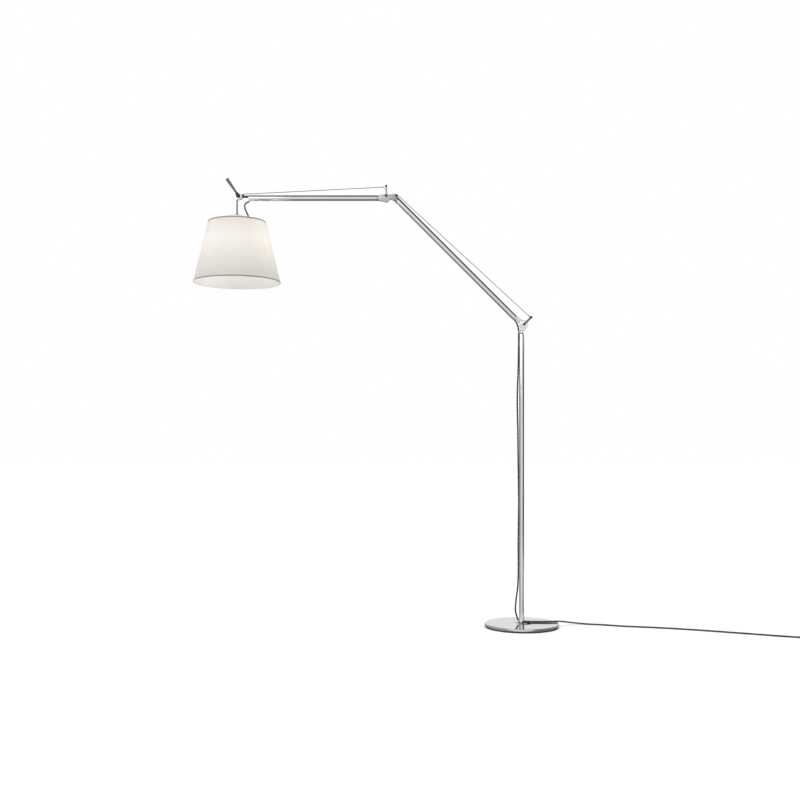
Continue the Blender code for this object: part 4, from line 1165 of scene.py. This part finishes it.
def makeShade():
    s = shadeSettings
    centre = headPlace @ Matrix.Translation((headSettings["shift"], 0, 0))
    heights = [s["bottom"] + (s["top"] - s["bottom"]) * row / s["rows"] for row in range(s["rows"] + 1)]
    outer = [(shadeRadius(height), height) for height in heights]
    inner = [(shadeRadius(height) - s["wall"], height) for height in reversed(heights)]
    bm = bmesh.new()
    addTurned(bm, outer + inner, centre, s["sides"])
    makePiece("shadeFabric", bm, "shadeFabric", "head", ["shade"], sharp=60)
    bm = bmesh.new()  # the glued overlap at the back
    lengths = bm.loops.layers.uv.verify()
    rows = []
    for height in heights:
        row = []
        for step in range(5):
            turn = s["seam"] + (step - 2) * 0.0045 / shadeRadius(height)
            lift = 0.0004 if 0 < step < 4 else 0.0001
            row.append(bm.verts.new(centre @ polar(turn, shadeRadius(height) + lift, height)))
        rows.append(row)
    for number, (here, there) in enumerate(zip(rows, rows[1:])):
        for step in range(4):
            face = bm.faces.new([here[step], here[step + 1], there[step + 1], there[step]])
            spots = ((step, number), (step + 1, number), (step + 1, number + 1), (step, number + 1))
            for loop, (across, up) in zip(face.loops, spots):
                loop[lengths].uv = (across * 0.0045, up * 0.0217)
    makePiece("shadeSeam", bm, "shadeFabric", "head")
    for side, low in (("Top", s["top"] - s["tape"]), ("Bottom", s["bottom"])):
        rise = [0, 0.0004, 0.0012, 0.0025, s["tape"] - 0.0012, s["tape"] - 0.0004, s["tape"]]
        swell = [0.2, 0.75, 1, 1, 1, 0.75, 0.2]
        band = [(shadeRadius(low + up) + gap / 2 + s["tapeWall"] * part, low + up) for up, part in zip(rise, swell)]
        band += [(shadeRadius(low + s["tape"] - 0.0002) + 0.00005, low + s["tape"] - 0.0002)]
        band += [(shadeRadius(low + 0.0002) + 0.00005, low + 0.0002)]
        bm = bmesh.new()
        addTurned(bm, band, centre, s["sides"])
        stoodFor = ["shade_" + side.lower() + "_trim"]
        makePiece("shadeTape" + side, bm, "shadeTape", "head", stoodFor, sharp=50)


hangerSettings = {"flange": 0.0165, "flangeLow": 0.0306, "flangeHigh": 0.0336, "wire": 0.0015}


def makeHanger():
    s, head = hangerSettings, headSettings
    centre = headPlace @ Matrix.Translation((head["shift"], 0, 0))
    top = shadeSettings["top"]
    bm = bmesh.new()
    stem = [(0, top - 0.022), (head["stem"], top - 0.022), (head["stem"], -0.0120), (0, -0.0120)]
    addTurned(bm, softened(stem, 0.0004), centre, 36)
    makePiece("shadeStem", bm, "satinRod", "head", ["stem"])
    bore = head["stem"] + gap
    low, high = top + s["flangeLow"], top + s["flangeHigh"]
    bm = bmesh.new()
    disc = [(bore, low), (s["flange"], low), (s["flange"], high), (bore, high)]
    collar = [(bore, high - 0.0003), (0.0066, high - 0.0003), (0.0060, high + 0.0040), (bore, high + 0.0040)]
    addTurned(bm, softened(disc, 0.0009), centre, 56)
    addTurned(bm, softened(collar, 0.0006), centre, 40)
    makePiece("hubFlange", bm, "brownPlastic", "head", ["hub_flange"])
    crown = low - gap
    outline = [
        (bore, crown), (bore, crown - 0.0015), (0.030, crown - 0.0035), (0.043, crown - 0.0058),
        (0.052, crown - 0.0085), (0.0580, crown - 0.0120), (0.0608, crown - 0.0165), (0.0620, crown - 0.0225),
        (0.0628, crown - 0.0230), (0.0635, crown - 0.0225), (0.0623, crown - 0.0155), (0.0594, crown - 0.0105),
        (0.0530, crown - 0.0068), (0.0435, crown - 0.0042), (0.030, crown - 0.0018),
    ]
    bm = bmesh.new()
    addTurned(bm, outline, centre, 96)
    makePiece("shadeCarrier", bm, "whiteEnamel", "head", ["shade_carrier"], sharp=45)
    bm = bmesh.new()
    level = top - 0.0033
    wide = shadeRadius(level) - shadeSettings["wall"] - 0.0022
    loop = [centre @ polar(math.tau * step / 96, wide, level) for step in range(97)]
    addSweep(bm, loop, s["wire"], 10)
    for number in range(3):
        out = polar(math.radians(90 + 120 * number))
        arm = [out * reach + Vector((0, 0, level)) for reach in (0.009, 0.040, wide - 0.001)]
        addSweep(bm, [centre @ point for point in arm], s["wire"], 10)
    hub = [(bore, level - 0.0017), (0.0130, level - 0.0017), (0.0130, level + 0.0018), (bore, level + 0.0018)]
    addTurned(bm, softened(hub, 0.0006), centre, 40)
    makePiece("shadeSpider", bm, "whiteEnamel", "head", ["shade_spider"])

    holderTop = top - 0.0053
    outline = [(0.0041, holderTop), (0.0041, holderTop - 0.020), (0.0135, holderTop - 0.024)]
    outline += [(0.0135, holderTop - 0.062), (0.0198, holderTop - 0.062), (0.0204, holderTop - 0.060)]
    outline += [(0.0204, holderTop - 0.052), (0.0196, holderTop - 0.051)]
    for rib in range(5):
        at = holderTop - 0.047 + 0.0052 * rib
        outline += [(0.0196, at), (0.0202, at + 0.0007), (0.0202, at + 0.0024), (0.0195, at + 0.0031)]
    outline += [(0.0190, holderTop - 0.020), (0.0122, holderTop - 0.004), (0.0110, holderTop)]
    bm = bmesh.new()
    addTurned(bm, softened(outline, 0.0004, 2), centre, 56)
    makePiece("lampHolder", bm, "whiteEnamel", "head", ["lampholder"])
    neckTop, drop, globe = holderTop - 0.0265, 0.082, 0.030
    outline = [(0, neckTop), (0.0120, neckTop), (0.0125, neckTop - 0.001), (0.0126, neckTop - 0.030)]
    outline += [(0.0136, neckTop - 0.042), (0.0160, neckTop - 0.0510)]
    for step in range(17):
        turn = math.radians(34 + 146 * step / 16)
        outline.append((globe * math.sin(turn) if step < 16 else 0, neckTop - drop + globe * math.cos(turn)))
    bm = bmesh.new()
    addTurned(bm, outline, centre, 56)
    makePiece("bulb", bm, "opalGlass", "head", ["bulb_glass"])


makeShade()
makeHanger()
print("head and shade made")

# Parts inside that keep their own shape
keptFinishes = {
    "castIron": ["base_weight"],
    "steelPlate": ["pole_washer", "pole_bolt", "pole_plug", "swivel_pin", "knee_washer_front", "knee_washer_back"],
    "springSteel": ["lower_spring", "upper_spring"],
}
for keptFinish, keptNodes in keptFinishes.items():
    for keptNode in keptNodes:
        for keptSlot in nodes[keptNode].material_slots:
            keptSlot.material = finishes[keptFinish]

# Floor and soft light. Metal mirrors a dim room with a few bright panels, and the rest of the scene gets even light
lightSettings = {
    "room": 0.42, "backdrop": (1.0, 1.0, 1.0), "floor": 60.0, "ceiling": 2.25, "softness": math.radians(100),
    "aim": Vector((-0.6, 0, 1.1)),
    "lamps": {
        "keyLight": {"place": (-3.6, -4.2, 3.6), "size": 3.0, "power": 50},
        "fillLight": {"place": (3.2, -4.6, 1.6), "size": 2.6, "power": 5},
    },
    "dim": 0.09,  # what polished metal mirrors all round, and the brighter panels in it
    "panels": [
        {"way": (-0.17, -0.985, 0), "edges": (0.60, 0.80), "strength": 0.72},
        {"way": (0, -0.95, 0.31), "edges": (0.92, 0.99), "strength": 0.92},
        {"way": (-1, 0, 0), "edges": (0.05, 0.85), "strength": 0.24},
        {"way": (0, 0, -1), "edges": (0.15, 0.85), "strength": 0.15},
        {"way": (0, 0, -1), "edges": (0.168, 0.178), "ends": (0.21, 0.30), "strength": 0.42},
        {"way": (0, 0.985, 0.17), "edges": (0.955, 0.985), "strength": 0.75},
        {"way": (0, 0, 1), "edges": (0.20, 0.26), "ends": (0.36, 0.48), "strength": 0.70},
    ],
    "bulb": {"power": 2.1, "colour": (1.0, 0.93, 0.84), "radius": 0.034},
}


def makeStage():
    finish, tree, shader = newFinish("stageFloor")
    dust = mottle(tree, stretched(tree, "Object", (3, 3, 3)))
    share = remap(tree, dust, 0.0, 1.0)
    tree.links.new(blendColours(tree, share, (0.90, 0.90, 0.90), (0.92, 0.92, 0.92)), shader.inputs["Base Color"])
    shader.inputs["Roughness"].default_value = 0.9
    shader.inputs["Specular IOR Level"].default_value = 0.0
    bm = bmesh.new()
    bmesh.ops.create_grid(bm, x_segments=4, y_segments=4, size=lightSettings["floor"])
    bmesh.ops.translate(bm, verts=bm.verts, vec=(0, 0, -0.0002))
    mesh = bpy.data.meshes.new("stageFloor")
    bm.to_mesh(mesh)
    bm.free()
    mesh.materials.append(finish)
    floor = bpy.data.objects.new("stageFloor", mesh)
    bpy.context.collection.objects.link(floor)
    floor.visible_glossy = False


def makeLight():
    s = lightSettings
    world = bpy.data.worlds.new("studio")
    bpy.context.scene.world = world
    world.use_nodes = True
    tree = world.node_tree
    way = addNode(tree, "ShaderNodeTexCoord").outputs["Generated"]
    brightest = 0.0
    for panel in s["panels"]:
        inputs = {0: way, 1: panel["way"]}
        facing = addNode(tree, "ShaderNodeVectorMath", inputs, operation="DOT_PRODUCT").outputs["Value"]
        glow = remap(tree, facing, 0.0, panel["strength"], *panel["edges"])
        if "ends" in panel:
            glow = join(tree, "MULTIPLY", glow, remap(tree, facing, 1.0, 0.0, *panel["ends"]))
        brightest = join(tree, "MAXIMUM", glow, brightest)
    seenInMetal = join(tree, "ADD", brightest, s["dim"])
    rays = addNode(tree, "ShaderNodeLightPath").outputs
    room = tree.nodes["Background"]
    room.inputs["Strength"].default_value = s["room"]
    glossy = addNode(tree, "ShaderNodeBackground", {"Strength": seenInMetal})
    backdrop = addNode(tree, "ShaderNodeBackground", {"Color": (*s["backdrop"], 1), "Strength": 1.0})
    for background in (room, glossy):
        background.inputs["Color"].default_value = (1, 1, 1, 1)
    lit = addNode(tree, "ShaderNodeMixShader", {0: rays["Is Glossy Ray"], 1: room.outputs[0], 2: glossy.outputs[0]})
    mix = addNode(tree, "ShaderNodeMixShader", {0: rays["Is Camera Ray"], 1: lit.outputs[0], 2: backdrop.outputs[0]})
    tree.links.new(mix.outputs[0], tree.nodes["World Output"].inputs["Surface"])
    for name, lamp in s["lamps"].items():
        data = bpy.data.lights.new(name, "AREA")
        data.size = lamp["size"]
        data.energy = lamp["power"]
        light = bpy.data.objects.new(name, data)
        bpy.context.collection.objects.link(light)
        light.location = lamp["place"]
        light.rotation_euler = (s["aim"] - light.location).to_track_quat("-Z", "Y").to_euler()
    lamp = s["bulb"]
    data = bpy.data.lights.new("bulbLight", "POINT")
    data.energy, data.color, data.shadow_soft_size = lamp["power"], lamp["colour"], lamp["radius"]
    light = bpy.data.objects.new("bulbLight", data)
    bpy.context.collection.objects.link(light)
    low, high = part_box("bulb_glass")
    light.location = [(a + b) / 2 for a, b in zip(low, high)]
    light.location.z = low[2] + 0.030
    bulb = bpy.data.objects["bulb"]
    bulb.visible_shadow = bulb.visible_glossy = False
    light.parent = bulb
    light.visible_glossy = light.visible_camera = False
    data = bpy.data.lights.new("ceilingLight", "SUN")  # even light from above, so that the whole floor is pale
    data.energy = s["ceiling"]
    data.angle = s["softness"]
    light = bpy.data.objects.new("ceilingLight", data)
    bpy.context.collection.objects.link(light)
    light.visible_glossy = False


makeStage()
makeLight()
bpy.context.scene.view_settings.view_transform = "Standard"
print("studio lit")
